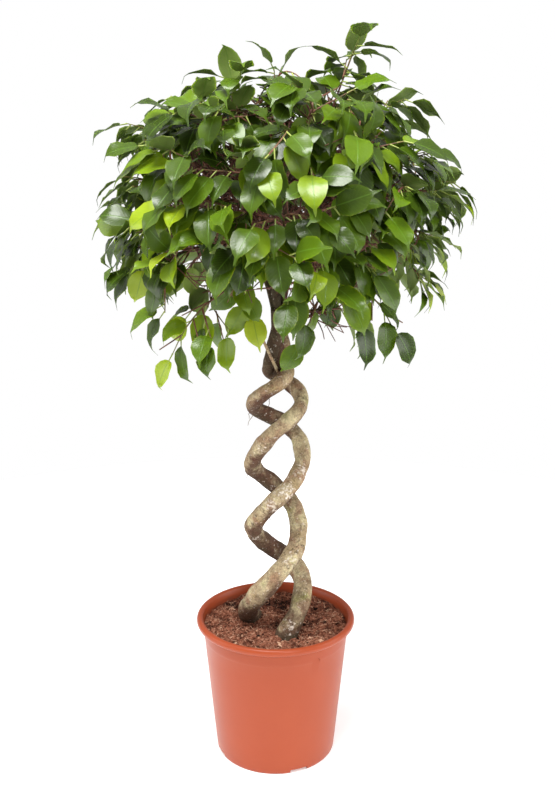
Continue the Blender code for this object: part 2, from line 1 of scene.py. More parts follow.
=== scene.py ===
"""Looks of a weeping fig grown as a spiral standard, in a terracotta-coloured nursery pot.

The places of the stems, limbs, twigs and leaves are worked out by the same rules, sizes and seeds as
the CAD solids, so each finer piece stands where its solid is. Then come the extra leaves and shoots, the
bare inner twigs, the wood between the stems' tops with a shoot in front of it, the air roots, and the
crumbs and fibres of the peat.
"""

import bpy
import numpy as np
from bpy.props import FloatProperty, FloatVectorProperty, IntProperty, PointerProperty
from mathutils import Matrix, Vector
from mathutils.bvhtree import BVHTree


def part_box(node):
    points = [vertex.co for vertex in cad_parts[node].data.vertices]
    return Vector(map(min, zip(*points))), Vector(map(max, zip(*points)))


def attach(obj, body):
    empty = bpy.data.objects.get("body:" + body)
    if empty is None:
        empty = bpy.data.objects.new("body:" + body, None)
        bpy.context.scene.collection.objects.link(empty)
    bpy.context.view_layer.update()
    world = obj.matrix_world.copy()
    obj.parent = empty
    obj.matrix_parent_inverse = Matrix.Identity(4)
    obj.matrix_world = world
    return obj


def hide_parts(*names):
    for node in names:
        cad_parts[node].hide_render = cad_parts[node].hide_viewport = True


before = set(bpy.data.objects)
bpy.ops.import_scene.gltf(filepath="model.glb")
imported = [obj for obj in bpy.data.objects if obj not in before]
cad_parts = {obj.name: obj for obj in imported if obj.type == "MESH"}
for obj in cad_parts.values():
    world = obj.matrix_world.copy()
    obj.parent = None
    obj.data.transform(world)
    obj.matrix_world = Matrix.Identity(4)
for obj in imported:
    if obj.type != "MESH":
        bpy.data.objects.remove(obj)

bl_info = {
    "name": "Weeping fig looks",
    "version": (1, 0, 0),
    "blender": (4, 5, 0),
    "location": "View3D > Sidebar > Fig",
    "description": "Dresses the CAD solids of a potted weeping fig with wound stems",
    "category": "Object",
}

BODY = "root"
DOWN = np.array((0.0, 0.0, -1.0))
# Large primes that scramble a cube's corner and a seed into a random value
CORNER_PRIMES, SEED_PRIME, MIX_PRIME = (73856093, 19349663, 83492791), 2654435761, 1274126177

# The pot's sizes, in metres: the same as the solid's
POT_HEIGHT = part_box("pot")[1].z
RIM_RADIUS = 0.105
RIM_DROP = 0.0100
RIM_HALF_WIDTH = 0.0045
COLLAR_RADIUS = 0.0968
COLLAR_FOOT_RADIUS = 0.0954
COLLAR_FOOT = 0.163
STEP_DEPTH = 0.0004
STEP_HEIGHT = 0.002
WALL = 0.0018
FOOT_RADIUS = 0.0800
FOOT_HEIGHT = 0.005
FOOT_BEVEL = 0.0015
FOOT_WIDTH = 0.003
PAD_RADIUS = 0.030
CHANNEL_HEIGHT = 0.0035
FLOOR_TOP = 0.0055
NOTCH_WIDTH = 0.024
NOTCH_INWARDS, NOTCH_OUTWARDS = 0.012, 0.008
NOTCH_HEIGHT = 0.0044
NOTCHES = 4
DRAIN_RADIUS = 0.006
DRAIN_CIRCLE = 0.055
DRAINS = 4
# Turns in degrees from +X of the first notch and the first drain hole
FIRST_NOTCH, FIRST_DRAIN = -157.0, -112.0
CUT_PAST = 0.004
MARK_TURN, MARK_HEIGHT, MARK_RADIUS, MARK_DEPTH = -57.0, 0.1625, 0.0055, 0.0004
# How finely it is turned: steps round the pot and round a hole, on the rim, up the wall and up the collar
POT_SIDES, HOLE_SIDES, RIM_STEPS, WALL_STEPS, COLLAR_STEPS = 144, 32, 17, 9, 6
# The turns between which the rim rolls
RIM_ROLL = (-110.0, 150.0)
# The collar's lower edge is eased by these sizes, and the foot's by these shares of its bevel and height
EASED_IN, EASED_DOWN = 0.0002, 0.0006
EASED_FOOT = (0.4, 0.25)
# Where peat dust and painted shade darken the inside: they start and are full at these distances from the
# axis and these heights
DUST_AND_SHADE_REACHES, DUST_AND_SHADE_HEIGHTS = (0.0954, 0.0946), (0.168, 0.172)
# Edges that turn by more degrees than this stay sharp
SHARP_ON_POT, SHARP_ON_SOIL, SHARP_ON_LEAF = 35, 50, 62

# The soil's sizes
SOIL_TOP = 0.177
SOIL_SWELL = 0.0018
# Its gentle waves: share, how fast each runs along X and along Y, and its phase
SWELLS = ((0.5, 61.0, 53.0, 1.0), (0.5, 61.0, -53.0, 1.0), (0.6, 31.0, 97.0, 0.0))
HOLLOW_X, HOLLOW_Y = 0.005, 0.045
HOLLOW_RADIUS = 0.022
HOLLOW_DEPTH = 0.004
GAP = 0.0003
# Where painted shade darkens the soil, beside the left stem and behind the stems: place and radius
SHADED_HOLLOWS = (
    (-0.034, 0.014, 0.011), (0.010, 0.060, 0.013), (-0.012, 0.064, 0.010), (-0.060, 0.052, 0.014),
)
# Its clods, crumbs and grit: size across, height and seed
CRUMBLE = ((0.014, 0.0028, 1), (0.0055, 0.0020, 2), (0.0024, 0.0010, 3))
SOIL_SIDES, SOIL_RINGS, INNERMOST_RING = 220, 64, 0.0006
# How the soil's tone follows the height of its clods, as painted light on them and painted shade between
# them, and how much darker painted shade makes the ground and the lumps in the shaded hollows
TONE_HEIGHT, TONE_BY_HEIGHT, TONES = 0.0040, 0.24, (-0.26, 0.16)
HOLLOW_SHADE_TONE, LUMP_SHADE_TONE = 0.30, 0.25
# Loose lumps: which setting counts them, their size, and how far each is stretched three ways
LUMPS = (
    ("crumbs", 0.0007, (0.9, 0.5, 0.3), (2.0, 1.2, 0.7)),
    ("flakes", 0.0011, (1.4, 0.7, 0.2), (2.4, 1.2, 0.4)),
)
LUMP_LEAST, LUMP_RARITY, LUMP_MOST = 0.0008, 2.6, 3.2
LUMP_LEVEL, LUMP_UNEVEN, LUMP_TONES = 0.5, (0.7, 1.3), (0.02, 0.20)
FIBRE_LENGTHS, FIBRE_RADII, FIBRE_ROWS = (0.005, 0.016), (0.00014, 0.00030), 6
FIBRE_BEND, FIBRE_TILT, FIBRE_LIFTS, FIBRE_TONE = 0.3, 0.15, (-0.0004, 0.0008), 0.30
# What lies on the soil keeps within this share of its area, and fibres within this share of its radius too
LOOSE_AREA, FIBRE_REACH = 0.97, 0.92
HAIR_SIDES = 4

# The two wound stems: turn in degrees from +X, height, distance from the axis of the twist
TWIST_AXIS_X = 0.0035
LEFT_STEM = (
    (140, 0.168, 0.044), (170, 0.188, 0.0405), (200, 0.208, 0.040), (230, 0.232, 0.0385),
    (270, 0.264, 0.036), (360, 0.3135, 0.0265), (450, 0.356, 0.031), (495, 0.378, 0.0335),
    (540, 0.400, 0.033), (585, 0.428, 0.0310), (630, 0.455, 0.033), (720, 0.486, 0.0295),
    (810, 0.509, 0.0215), (900, 0.531, 0.0100), (950, 0.553, 0.0100), (980, 0.575, 0.0100),
)
RIGHT_STEM = (
    (284, 0.176, 0.036), (360, 0.233, 0.0325), (405, 0.249, 0.0320), (450, 0.2655, 0.034),
    (495, 0.287, 0.0300), (540, 0.311, 0.0325), (585, 0.338, 0.0295), (630, 0.364, 0.033),
    (720, 0.411, 0.0315), (810, 0.449, 0.034), (855, 0.4635, 0.0360), (900, 0.480, 0.0315),
    (990, 0.510, 0.0215), (1080, 0.531, 0.0100), (1130, 0.553, 0.0100), (1160, 0.575, 0.0100),
)
TURN_STEP = 30.0
# Whitish scars on the front: stem, turn and size
SCARS = (
    ("stem_right", 645.0, 0.012), ("stem_right", 615.0, 0.010), ("stem_right", 690.0, 0.011),
    ("stem_right", 520.0, 0.008), ("stem_left", 300.0, 0.009), ("stem_left", 585.0, 0.007),
    ("stem_right", 300.0, 0.006),
)
SCAR_SIDE = np.array((0.1, -1.0, 0.35))
# A stem's path starts with these rows in the soil, and its tube is made this many times as fine
BURIED_ROWS = 3
FINE = 8
STEM_FINE_SIDES = 32
# A stem's finishes
BARK, THIN_BARK = 0, 1
# The stems' knobs: size across, share of the radius and seed
KNOBS = ((0.020, 0.11, 5), (0.008, 0.06, 6), (0.004, 0.025, 7))
# How dark the bark is behind the crossings, where the stems have grown together and at the soil, all
# painted shade, and how dark it is low down, over what lengths that fades, and the painted shade of the
# callus and limbs
BACK_REACH, BACK_WIDTH, BACK_FADE, BACK_SHADE = 0.018, 0.028, 1.2, 0.7
JOINED_OVER, JOINED_MOST, JOINED_FADE, JOINED_LEAST, JOINED_SHADE = 0.02, 0.75, 1.5, 0.3, 1.5
SOIL_SHADE_HEIGHT, SOIL_SHADE = 0.010, 1.4
LOW_BARK, LOW_BARK_OVER, LOW_SHADE = 0.25, 0.06, 0.35
CALLUS_SHADE, LIMB_SHADE = 1.0, 1.8
CALLUS = (0.515, 0.600)
CALLUS_RADII = (0.0065, 0.0095)
CALLUS_ROWS, CALLUS_SIDES = 12, 20
# Thin roots that hang from a stem: its name, the turn, the way they start, and their length
AIR_ROOTS = (
    ("stem_right", 962.0, (0.2, -0.5, -1.0), 0.015), ("stem_right", 950.0, (-0.2, -0.4, -1.0), 0.011),
    ("stem_right", 868.0, (-0.5, 0.1, -1.0), 0.017), ("stem_right", 880.0, (-0.7, -0.1, -1.0), 0.009),
    ("stem_right", 600.0, (0.6, -0.5, -1.0), 0.012), ("stem_left", 535.0, (-0.6, -0.2, -1.0), 0.010),
)
AIR_ROOT_RADII, AIR_ROOT_ROWS, AIR_ROOT_SHADE = (0.0005, 0.00025), 7, 0.5
AIR_ROOT_START, AIR_ROOT_PULL, AIR_ROOT_DROP = 0.9, 0.4, 2.0
AIR_ROOT_SPREAD, AIR_ROOT_WAVER = 0.4, 0.0005
# A shoot in front of the stems' tops and one that hangs from the low limb
FRONT_SHOOT = (
    (0.004, -0.007, 0.520), (-0.013, -0.030, 0.562), (-0.028, -0.049, 0.605), (-0.043, -0.062, 0.650),
)
FRONT_SHOOT_RADII = (0.0021, 0.0012)
HANGING_SHOOT = ((0.044, -0.004, 0.598), (0.043, -0.028, 0.592), (0.033, -0.046, 0.572))
HANGING_SHOOT_RADII = (0.0013, 0.0009)
# Leaves on these two: the petiole's foot, the way it hangs, its size, its bend and its age
FRONT_LEAVES = (
    ((-0.029, -0.050, 0.608), (0.20, -0.10, -1.0), 0.92, 0.30, 0.95),
    ((-0.033, -0.054, 0.620), (-0.30, -0.04, -1.0), 0.94, 0.40, 0.62),
    ((-0.037, -0.057, 0.632), (0.45, -0.14, -1.0), 0.80, 0.35, 0.45),
    ((-0.040, -0.060, 0.641), (-0.70, -0.10, -1.0), 0.92, 0.40, 0.35),
    ((-0.043, -0.062, 0.650), (0.30, -0.45, -1.0), 0.88, 0.50, 0.50),
    ((0.033, -0.046, 0.572), (-0.55, -0.12, -1.0), 0.90, 0.35, 0.40),
    ((0.041, -0.033, 0.588), (0.10, -0.35, -1.0), 0.42, 0.30, 0.42),
    ((0.022, -0.024, 0.606), (-0.20, -0.25, -1.0), 0.62, 0.35, 0.55),
)
# Where they face, and how far a leaf's age shifts the waves of its edge
FRONT_FACE = np.array((0.10, -1.0, 0.15))
FRONT_WAVE = 5.0
FRONT_SPRAY = "spray_43"
# How the stems' tops lean outwards, and how their feet bend down into the soil
STEM_TOP = 0.605
STEM_TOP_BEND = 0.010
STEM_TOP_AHEAD, STEM_TOP_OUT = 0.40, 0.35
KNEE, HEEL, FOOT = 0.0165, 0.0165, 0.022
HEEL_LEAN = 0.35
STEM_SIDES = 7
# A stem's radius at some heights, and the swelling of its bark
STEM_TAPER = (
    (0.10, 0.0136), (0.176, 0.0134), (0.31, 0.0116), (0.45, 0.0100), (0.53, 0.0088), (0.61, 0.0072),
)
BARK_SWELL = 0.05
SWELLS_PER_METRE = 30.0

# The crown's layout
CROWN_CENTRE = np.array((0.002, 0.0, 0.700))
CROWN_REACH = 0.190
CROWN_RISE = 0.177
CROWN_SQUARENESS = 2.6
GOLDEN_ANGLE = 137.508
SPRAYS = 40
LOWEST_SPRAY = -25.0
FIRST_SPRAY_TURN = 20.0
ROOT_SHARE = 0.66
ROOT_LIFT = 0.20
SWAY = 0.030
# The tips draw in by this share, from this rise in degrees down over that many degrees
TAPER, TAPER_FROM, TAPER_OVER = 0.12, 10.0, 30.0
HUBS = 10
HUB_SHARE = 0.46
LOWEST_HUB = -8.0
FIRST_HUB_TURN = 75.0
HUB_PARTING = 0.018
ROOT_PARTING = 0.006
LIMB_RADII = (0.0046, 0.0026)
LIMB_SIDES = 4
LIMB_RISE, LIMB_RISE_SHARE, LIMB_REACH_SHARE = 0.012, 0.55, 0.15
LIMB_FORKS = 0.9
# A low limb that leaves the right stem under the crown
LOW_LIMB = ((0.006, 0.008, 0.570), (0.024, 0.004, 0.588), (0.044, -0.004, 0.598), (0.070, -0.010, 0.600))
LOW_LIMB_RADII = (0.0034, 0.0018)
BRANCHLET_RADII = (0.0023, 0.0016)
BRANCHLET_BOW = 0.10
BRANCHLET_STEP = 0.09
TWIG_SIDES = 3
TWIG_RADII = (0.0016, 0.0012)
TWIG_ARCH = 0.62
TWIG_AHEAD, TWIG_UP = 0.60, 0.45
SIDE_TWIG_RADII = (0.0013, 0.0011)
SIDE_TWIG = 0.052
SIDE_TWIG_START = 0.36
SIDE_OUT, SIDE_ALONG, SIDE_DOWN = 0.60, 0.30, 0.25
STRAY_SHOOTS = (
    (226.0, -38.0, 1.08), (324.0, -33.0, 0.98), (302.0, -60.0, 0.62), (228.0, -54.0, 0.74),
    (350.0, 66.0, 1.24), (177.0, 34.0, 1.09), (358.0, 14.0, 1.13),
    (100.0, 84.0, 1.04), (8.0, 44.0, 1.09),
)

# The leaves' sizes, and how each is set
PETIOLE = 0.011
PETIOLE_RADIUS = 0.0009
FOOT_SHARE = 0.5
BLADE_LENGTH = 0.050
BLADE_HALF_WIDTH = 0.0148
BLADE_THICK = 0.0018
OUTLINE = ((0.12, 0.76), (0.40, 1.0), (0.70, 0.48))
RIDGE = 0.38
LEAF_FOLD = 0.16
LEAF_WAVE = 0.0018
LEAF_WAVES = 7.0
LEAVES_ON_TWIG = (0.32, 0.56, 0.79, 1.0)
LEAVES_ON_SIDE = (0.38, 0.70, 1.0)
SUNK = 0.002
SEED = 41
# What sets the random draws of each kind of thing apart
SIDE_TWIG_DRAWS, LEAF_DRAWS, BARE_TWIG_DRAWS, SOIL_DRAWS = 100, 200, 300, 400
AGE_DRAWS, SHOOT_DRAWS, AIR_ROOT_DRAWS = 500, 600, 700
DRAWS_A_ROUND = 10
SIZES = (0.78, 1.08)
BENDS = (0.25, 0.85)
DROOPS = (0.25, 1.00)
LESS_DROOP_ON_TOP = 0.50
ROLLS = (-0.5, 0.5)
STRAY = 0.16
LEAN_ALONG, LEAN_ASIDE, LEAN_OUT = 0.50, 0.55, 0.75
FACE_OUT, FACE_UP = 0.9, 0.55
CLEARANCE = 0.0006
TRIES = 24
TRY_TURN = 0.09
TRY_DROOP = 0.8

# A fine leaf, at shares along the blade: its half width, with a round base and a drip tip, and thickness
ROWS = np.array((0.03, 0.12, 0.27, 0.45, 0.60, 0.71, 0.80, 1.0))
WIDTHS = np.array((0.42, 0.79, 0.99, 0.98, 0.79, 0.46, 0.14, 0.03))
THICKS = np.array((0.0008, 0.0007, 0.0006, 0.0006, 0.0006, 0.0005, 0.0004, 0.0002))
RING_ACROSS = np.array((-1.0, -0.5, 0.0, 0.5, 1.0, 0.5, 0.0, -0.5))
RING_LIFT = np.array((0.0, 0.75, 0.35, 0.75, 0.0, -0.15, -0.65, -0.15))
RING_TURN = np.radians((180.0, 135.0, 90.0, 45.0, 0.0, 315.0, 270.0, 225.0))
PETIOLE_ROWS = np.array((0.0, 1.0))
PETIOLE_TAPER = np.array((1.0, 0.7))
MIDLINE_STEPS = 32
TIP_CURLS = (0.33, 1.43)
TIP_FROM = 0.55
VEIN_GAP, VEIN_SLANT = 0.00419, 0.22
RIPPLE = 0.0014
RIPPLES = 12.0
RIPPLE_PHASE = 2.3
FLAT_WHERE_NARROW = 1.6
SIDEWAYS = 0.003

# Growth that the solids leave out: the extra side twigs' places and sides, and then the further leaves, a
# kind of wood at a time, each at these shares along it
EXTRA_TWIGS = ((0.20, 1.0), (0.52, -1.0), (0.74, 1.0))
EXTRA_TWIG_LENGTHS = (0.030, 0.052)
EXTRA_TWIG_RADII = (0.0010, 0.0007)
EXTRA_LEAVES = (
    ("shoots", (1.0, 0.84, 0.68, 0.52, 0.36, 0.20)), ("extra", (1.0, 0.72, 0.42)),
    ("main", (0.94, 0.68, 0.44, 0.18)), ("side", (0.85, 0.54, 0.22)), ("inner", (0.95, 0.75, 0.55)),
)
INNER_LEAVES_FROM = 0.71
EXTRA_TRIES = 12
# Places among the sprays of those that stay thin, as the stems or the low limb show behind them
THIN_SPRAYS = (38, 40, 41, 42, 43)
SHOOTS = 150
LOWEST_SHOOT = -20.0
SHOOT_SHARES = (0.68, 0.98)
# Tips of further shoots, low at the left and at the right front: turn, rise and share of the dome's reach
LOW_TIPS = (
    (190.0, -20.0, 1.02), (206.0, -25.0, 0.98), (222.0, -27.0, 0.96), (252.0, -22.0, 0.95),
    (306.0, 12.0, 0.90), (312.0, 4.0, 0.86), (299.0, 3.0, 0.82), (307.0, 22.0, 0.86),
    (296.0, 18.0, 0.80), (302.0, 18.0, 0.80), (296.0, 12.0, 0.90), (308.0, 18.0, 0.80),
)
SHOOT_LENGTH = 0.045
SHOOT_RADII = (0.0013, 0.0007)
SHOOT_ROWS = 5
SHOOT_FEET = np.linspace(0.1, 0.9, 9)
SHOOT_AHEAD, SHOOT_UP, SHOOT_ARCH = 0.8, 0.5, 0.6
BARE_TWIGS = 1900
BARE_UP_TO, BARE_DOWN_TO = 0.86, 0.618
LOW_TWIGS, LOW_TWIG_SHARES = 28, (0.4, 1.0)
BARE_RADII = (0.0011, 0.0005)
BARE_ROWS = 5
BARE_SHARES = (0.10, 0.85)
BARE_LENGTHS = (0.03, 0.09)
BARE_AHEAD, BARE_OUT, BARE_SPREAD = 0.3, 0.3, 0.9
BARE_END_OUT, BARE_END_SPREAD = 0.35, 0.5

# How thick the twigs are at their two ends beside the solids' ones
TWIG_SLIMMING = (0.9, 0.45)
# How finely the tubes are made: steps between two points of a path, and sides
LIMB_STEPS, LIMB_FINE_SIDES, BRANCHLET_FINE_SIDES = 4, 10, 7
TWIG_STEPS, SIDE_TWIG_STEPS, TWIG_FINE_SIDES = 5, 3, 6
SHOOT_STEPS, SHOOT_SIDES = 2, 5
FRONT_SHOOT_SIDES, HANGING_SHOOT_SIDES = 8, 6
# Ages run from 0, old and deep green, to 1, young and yellow-green. Young leaves are fewer high up, and
# the others' ages follow a beta distribution up to the given age
YOUNG_SHARE, FEWER_YOUNG, LEAST_YOUNG = 0.16, 0.9, 0.15
YOUNG_AGES, OLDER_AGES, OLDER_UP_TO = (0.55, 1.0), (1.3, 2.2), 0.72
# How much older the leaves on top are, and the painted shade that deepens the leaves' green the higher they
# grow
OLDER_ON_TOP, TOP_LEAF_SHADE = 0.4, 0.3

# How many finer sizes a mottled finish has, and how strong they are
MOTTLE_FINENESS = (5.0, 0.65)
# Where a Mix node has its sockets for colours
FACTOR, FIRST, SECOND, MIXED = 0, 6, 7, 2

# The stage: the camera that the pot's ellipses gave, and the floor's rings
CAMERA_PLACE, CAMERA_TILT, SENSOR, LENS = (0.0026, -1.235, 0.794), 75.9, 36.0, 45.3
FLOOR_RADII, FLOOR_SIDES, FLOOR_DROP = np.array((1.3, 0.9, 0.5)), 96, 0.0005
WHITE = (1.0, 1.0, 1.0, 1.0)
# The softboxes: name, place, the height that each looks at, width, the setting that powers it, its share
SOFTBOXES = (
    ("overhead softbox", (-0.3, -0.6, 2.4), 0.2, 1.1, "key", 1.0),
    ("front softbox", (0.8, -2.3, 1.7), 0.5, 0.6, "fill", 1.0),
    ("left softbox", (-1.9, -0.2, 1.0), 0.5, 1.4, "side", 1.0),
    ("right softbox", (1.9, -0.2, 1.0), 0.5, 1.4, "side", 1.3),
)


def linear(code):
    """Turns an sRGB hex colour into linear red, green, blue and a full alpha."""
    part = np.array([int(code[i:i + 2], 16) for i in (1, 3, 5)]) / 255
    return tuple(np.where(part <= 0.04045, part / 12.92, ((part + 0.055) / 1.055) ** 2.4)) + (1.0,)


def unit(vector):
    """The vector at a length of 1."""
    return vector / np.linalg.norm(vector)


def units(vectors):
    """The vectors of the last axis, each at a length of 1."""
    return vectors / np.linalg.norm(vectors, axis=-1, keepdims=True)


def smooth(at, knots, values):
    """Cubic through the knots, with each knot's slope taken from its two neighbours."""
    knots, values = np.asarray(knots, float), np.asarray(values, float)
    slopes = np.gradient(values, knots)
    i = np.clip(np.searchsorted(knots, at) - 1, 0, len(knots) - 2)
    span = knots[i + 1] - knots[i]
    t = (at - knots[i]) / span
    return (
        (2 * t**3 - 3 * t**2 + 1) * values[i]
        + (t**3 - 2 * t**2 + t) * span * slopes[i]
        + (3 * t**2 - 2 * t**3) * values[i + 1]
        + (t**3 - t**2) * span * slopes[i + 1]
    )


def finer(rows, steps):
    """Cubic through the rows, steps times as fine, with each row's slope taken from its two neighbours."""
    rows = np.asarray(rows, float)
    at = np.linspace(0, len(rows) - 1, (len(rows) - 1) * steps + 1)
    return np.stack([smooth(at, np.arange(len(rows)), column) for column in rows.T], 1)


def bezier(start, pull, end, count):
    """Points on the quadratic curve that leaves start towards pull and ends at end."""
    t = np.linspace(0.0, 1.0, count)[:, None]
    return (1 - t) ** 2 * start + 2 * t * (1 - t) * pull + t**2 * end


def noise(points, size, seed):
    """Value noise from -1 to 1: random values at the corners of cubes of that size, smoothly blended."""
    place = np.asarray(points, float) / size
    cell = np.floor(place).astype(np.int64)
    t = place - cell
    t = t * t * (3 - 2 * t)
    total = np.zeros(place.shape[:-1])
    for corner in np.ndindex(2, 2, 2):
        key = (cell + corner) * CORNER_PRIMES
        mixed = key[..., 0] ^ key[..., 1] ^ key[..., 2] ^ (seed * SEED_PRIME)
        mixed = (mixed ^ (mixed >> 13)) * MIX_PRIME
        value = ((mixed ^ (mixed >> 16)) & 0xFFFF) / 32767.5 - 1
        total += np.prod(np.where(corner, t, 1 - t), axis=-1) * value
    return total


# Layout of the wood and the leaves, as in the solids


def tube(path, radii, sides, corner=(1.0, 0.0, 0.0), heading=None):
    """A tube with flat ends: rings round the path, carried on without twist. The first ring has a
    corner towards the one given, and stands square to the heading, if one is given."""
    path = np.asarray(path, float)
    tangent = units(np.gradient(path, axis=0))
    if heading is not None:
        tangent[0] = heading
    normal = np.asarray(corner)
    angle = np.arange(sides) * 2 * np.pi / sides
    points = []
    for centre, along, radius in zip(path, tangent, radii):
        normal = unit(normal - along * (normal @ along))
        across = np.cross(along, normal)
        ring = centre + radius * (np.cos(angle)[:, None] * normal + np.sin(angle)[:, None] * across)
        points += list(ring)
    faces = [tuple(range(sides))[::-1]] + tube_faces(len(path), sides).tolist()
    faces.append(tuple(range((len(path) - 1) * sides, len(path) * sides)))
    return points, faces


def tube_faces(rings, sides):
    """The quads between rings that follow each other, each ring being closed."""
    row, i = np.meshgrid(np.arange(rings - 1) * sides, np.arange(sides), indexing="ij")
    j = (i + 1) % sides
    return np.stack([row + i, row + j, row + sides + j, row + sides + i], -1).reshape(-1, 4)


def stem_path(rows):
    """The buried foot, which curves down from the helix, then the helix and a top that leans outwards."""
    turn, height, reach = np.array(rows).T
    at = np.arange(turn[0], turn[-1] + 0.1, TURN_STEP)
    z, r, angle = smooth(at, turn, height), smooth(at, turn, reach), np.radians(at)
    helix = np.stack([TWIST_AXIS_X + r * np.cos(angle), r * np.sin(angle), z], 1)
    back = unit(helix[0] - helix[1])
    knee = helix[0] + KNEE * unit(DOWN + back)
    heel = knee + HEEL * unit(DOWN + HEEL_LEAN * back)
    foot = np.array((heel + FOOT * DOWN, heel, knee))
    end, heading = helix[-1], unit(helix[-1] - helix[-2])
    outward = unit(end - (TWIST_AXIS_X, 0, end[2]))
    peak = end + (STEM_TOP - end[2]) * unit(STEM_TOP_AHEAD * heading + STEM_TOP_OUT * outward - DOWN)
    path = np.vstack([foot, helix, bezier(end, end + STEM_TOP_BEND * heading, peak, 4)[1:]])
    swell = 1 + BARK_SWELL * np.sin(2 * np.pi * SWELLS_PER_METRE * path[:, 2] + np.radians(turn[0]))
    return path, smooth(path[:, 2], *zip(*STEM_TAPER)) * swell


def dome(turn, rise, share):
    """The point on the crown's dome at a turn and rise in degrees, at a share of its reach."""
    t, e = np.radians(turn), np.radians(rise)
    power = CROWN_SQUARENESS
    reach = ((np.cos(e) / CROWN_REACH) ** power + (abs(np.sin(e)) / CROWN_RISE) ** power) ** (-1 / power)
    heading = np.array((np.cos(e) * np.cos(t), np.cos(e) * np.sin(t), np.sin(e)))
    return CROWN_CENTRE + share * reach * heading


def share_of_dome(point):
    """How far out a point is: 1 on the dome."""
    out = np.abs(point - CROWN_CENTRE)
    reach, rise = np.hypot(out[0], out[1]) / CROWN_REACH, out[2] / CROWN_RISE
    return (reach**CROWN_SQUARENESS + rise**CROWN_SQUARENESS) ** (1 / CROWN_SQUARENESS)


def spread(count, lowest, offset):
    """Turns and rises of count points set evenly over the dome by the golden angle."""
    n = np.arange(count) + 0.5
    low = np.sin(np.radians(lowest))
    rise = np.degrees(np.arcsin(1 - n / count * (1 - low)))
    return (n * GOLDEN_ANGLE + offset) % 360, rise


def side_of(point):
    """Which stem carries a point: -1 for the left one, 1 for the right."""
    return 1.0 if point[0] > TWIST_AXIS_X else -1.0


def kept_aside(point, side, parting):
    """The point, moved along X where it would be nearer than parting to the plane between the stems."""
    x = TWIST_AXIS_X + side * max((point[0] - TWIST_AXIS_X) * side, parting)
    return np.array((x, point[1], point[2]))


def plan_crown():
    """The hubs, and for each spray its tip, its root, its hub and the side of its stem."""
    hubs = [dome(t, r, HUB_SHARE) for t, r in zip(*spread(HUBS, LOWEST_HUB, FIRST_HUB_TURN))]
    hubs = [kept_aside(hub, side_of(hub), HUB_PARTING) for hub in hubs]
    turns, rises = spread(SPRAYS, LOWEST_SPRAY, FIRST_SPRAY_TURN)
    shares = 1.0 - TAPER * np.clip((TAPER_FROM - rises) / TAPER_OVER, 0.0, 1.0)
    tips = [dome(*place) for place in zip(turns, rises, shares)]
    tips += [dome(*shoot) for shoot in STRAY_SHOOTS]
    plan = []
    for n, tip in enumerate(tips):
        side, out = side_of(tip), tip - CROWN_CENTRE
        own = [hub for hub in hubs if side_of(hub) == side]
        hub = min(own, key=lambda h: np.linalg.norm(2 * (h - CROWN_CENTRE) - out))
        root = CROWN_CENTRE + ROOT_SHARE * out + SWAY * (-1) ** n * unit(np.cross(out, DOWN))
        root[2] += ROOT_LIFT * max(0.0, -out[2])
        plan.append((tip, kept_aside(root, side, ROOT_PARTING), hub, side))
    return plan, hubs


def limb_curve(fork, hub):
    """Leaves the stem steeply and levels out to its hub."""
    rise = np.array((0.0, 0.0, LIMB_RISE_SHARE * (hub[2] - fork[2]) + LIMB_RISE))
    return bezier(fork, fork + rise + LIMB_REACH_SHARE * (hub - fork), hub, 4)


def branchlet_curve(start, root):
    """Bows slightly away from the crown's centre."""
    pull = 0.5 * (start + root) + BRANCHLET_BOW * (root - CROWN_CENTRE)
    return bezier(start, pull, root, 3)


def twig_curve(root, heading, tip):
    """Goes on from the branchlet, bends upwards and outwards, then arches over and droops to the tip."""
    start = root + GAP * heading
    rise = unit(heading + TWIG_AHEAD * unit(tip - root) - TWIG_UP * DOWN)
    return bezier(start, start + TWIG_ARCH * np.linalg.norm(tip - root) * rise, tip, 4)


def side_twig(twig, side, share=SIDE_TWIG_START, length=SIDE_TWIG):
    """A short straight twig that leaves the main one to one side."""
    start, tangent = point_on(twig, share)
    out = unit(start - CROWN_CENTRE)
    across = unit(np.cross(out, DOWN))
    heading = SIDE_OUT * out + SIDE_ALONG * tangent + side * across + SIDE_DOWN * DOWN
    return np.array((start, start + length * unit(heading)))


def point_on(path, share):
    """The point and direction at a share of the path's points."""
    place = share * (len(path) - 1)
    k = min(int(place), len(path) - 2)
    step = path[k + 1] - path[k]
    return path[k] + (place - k) * step, unit(step)


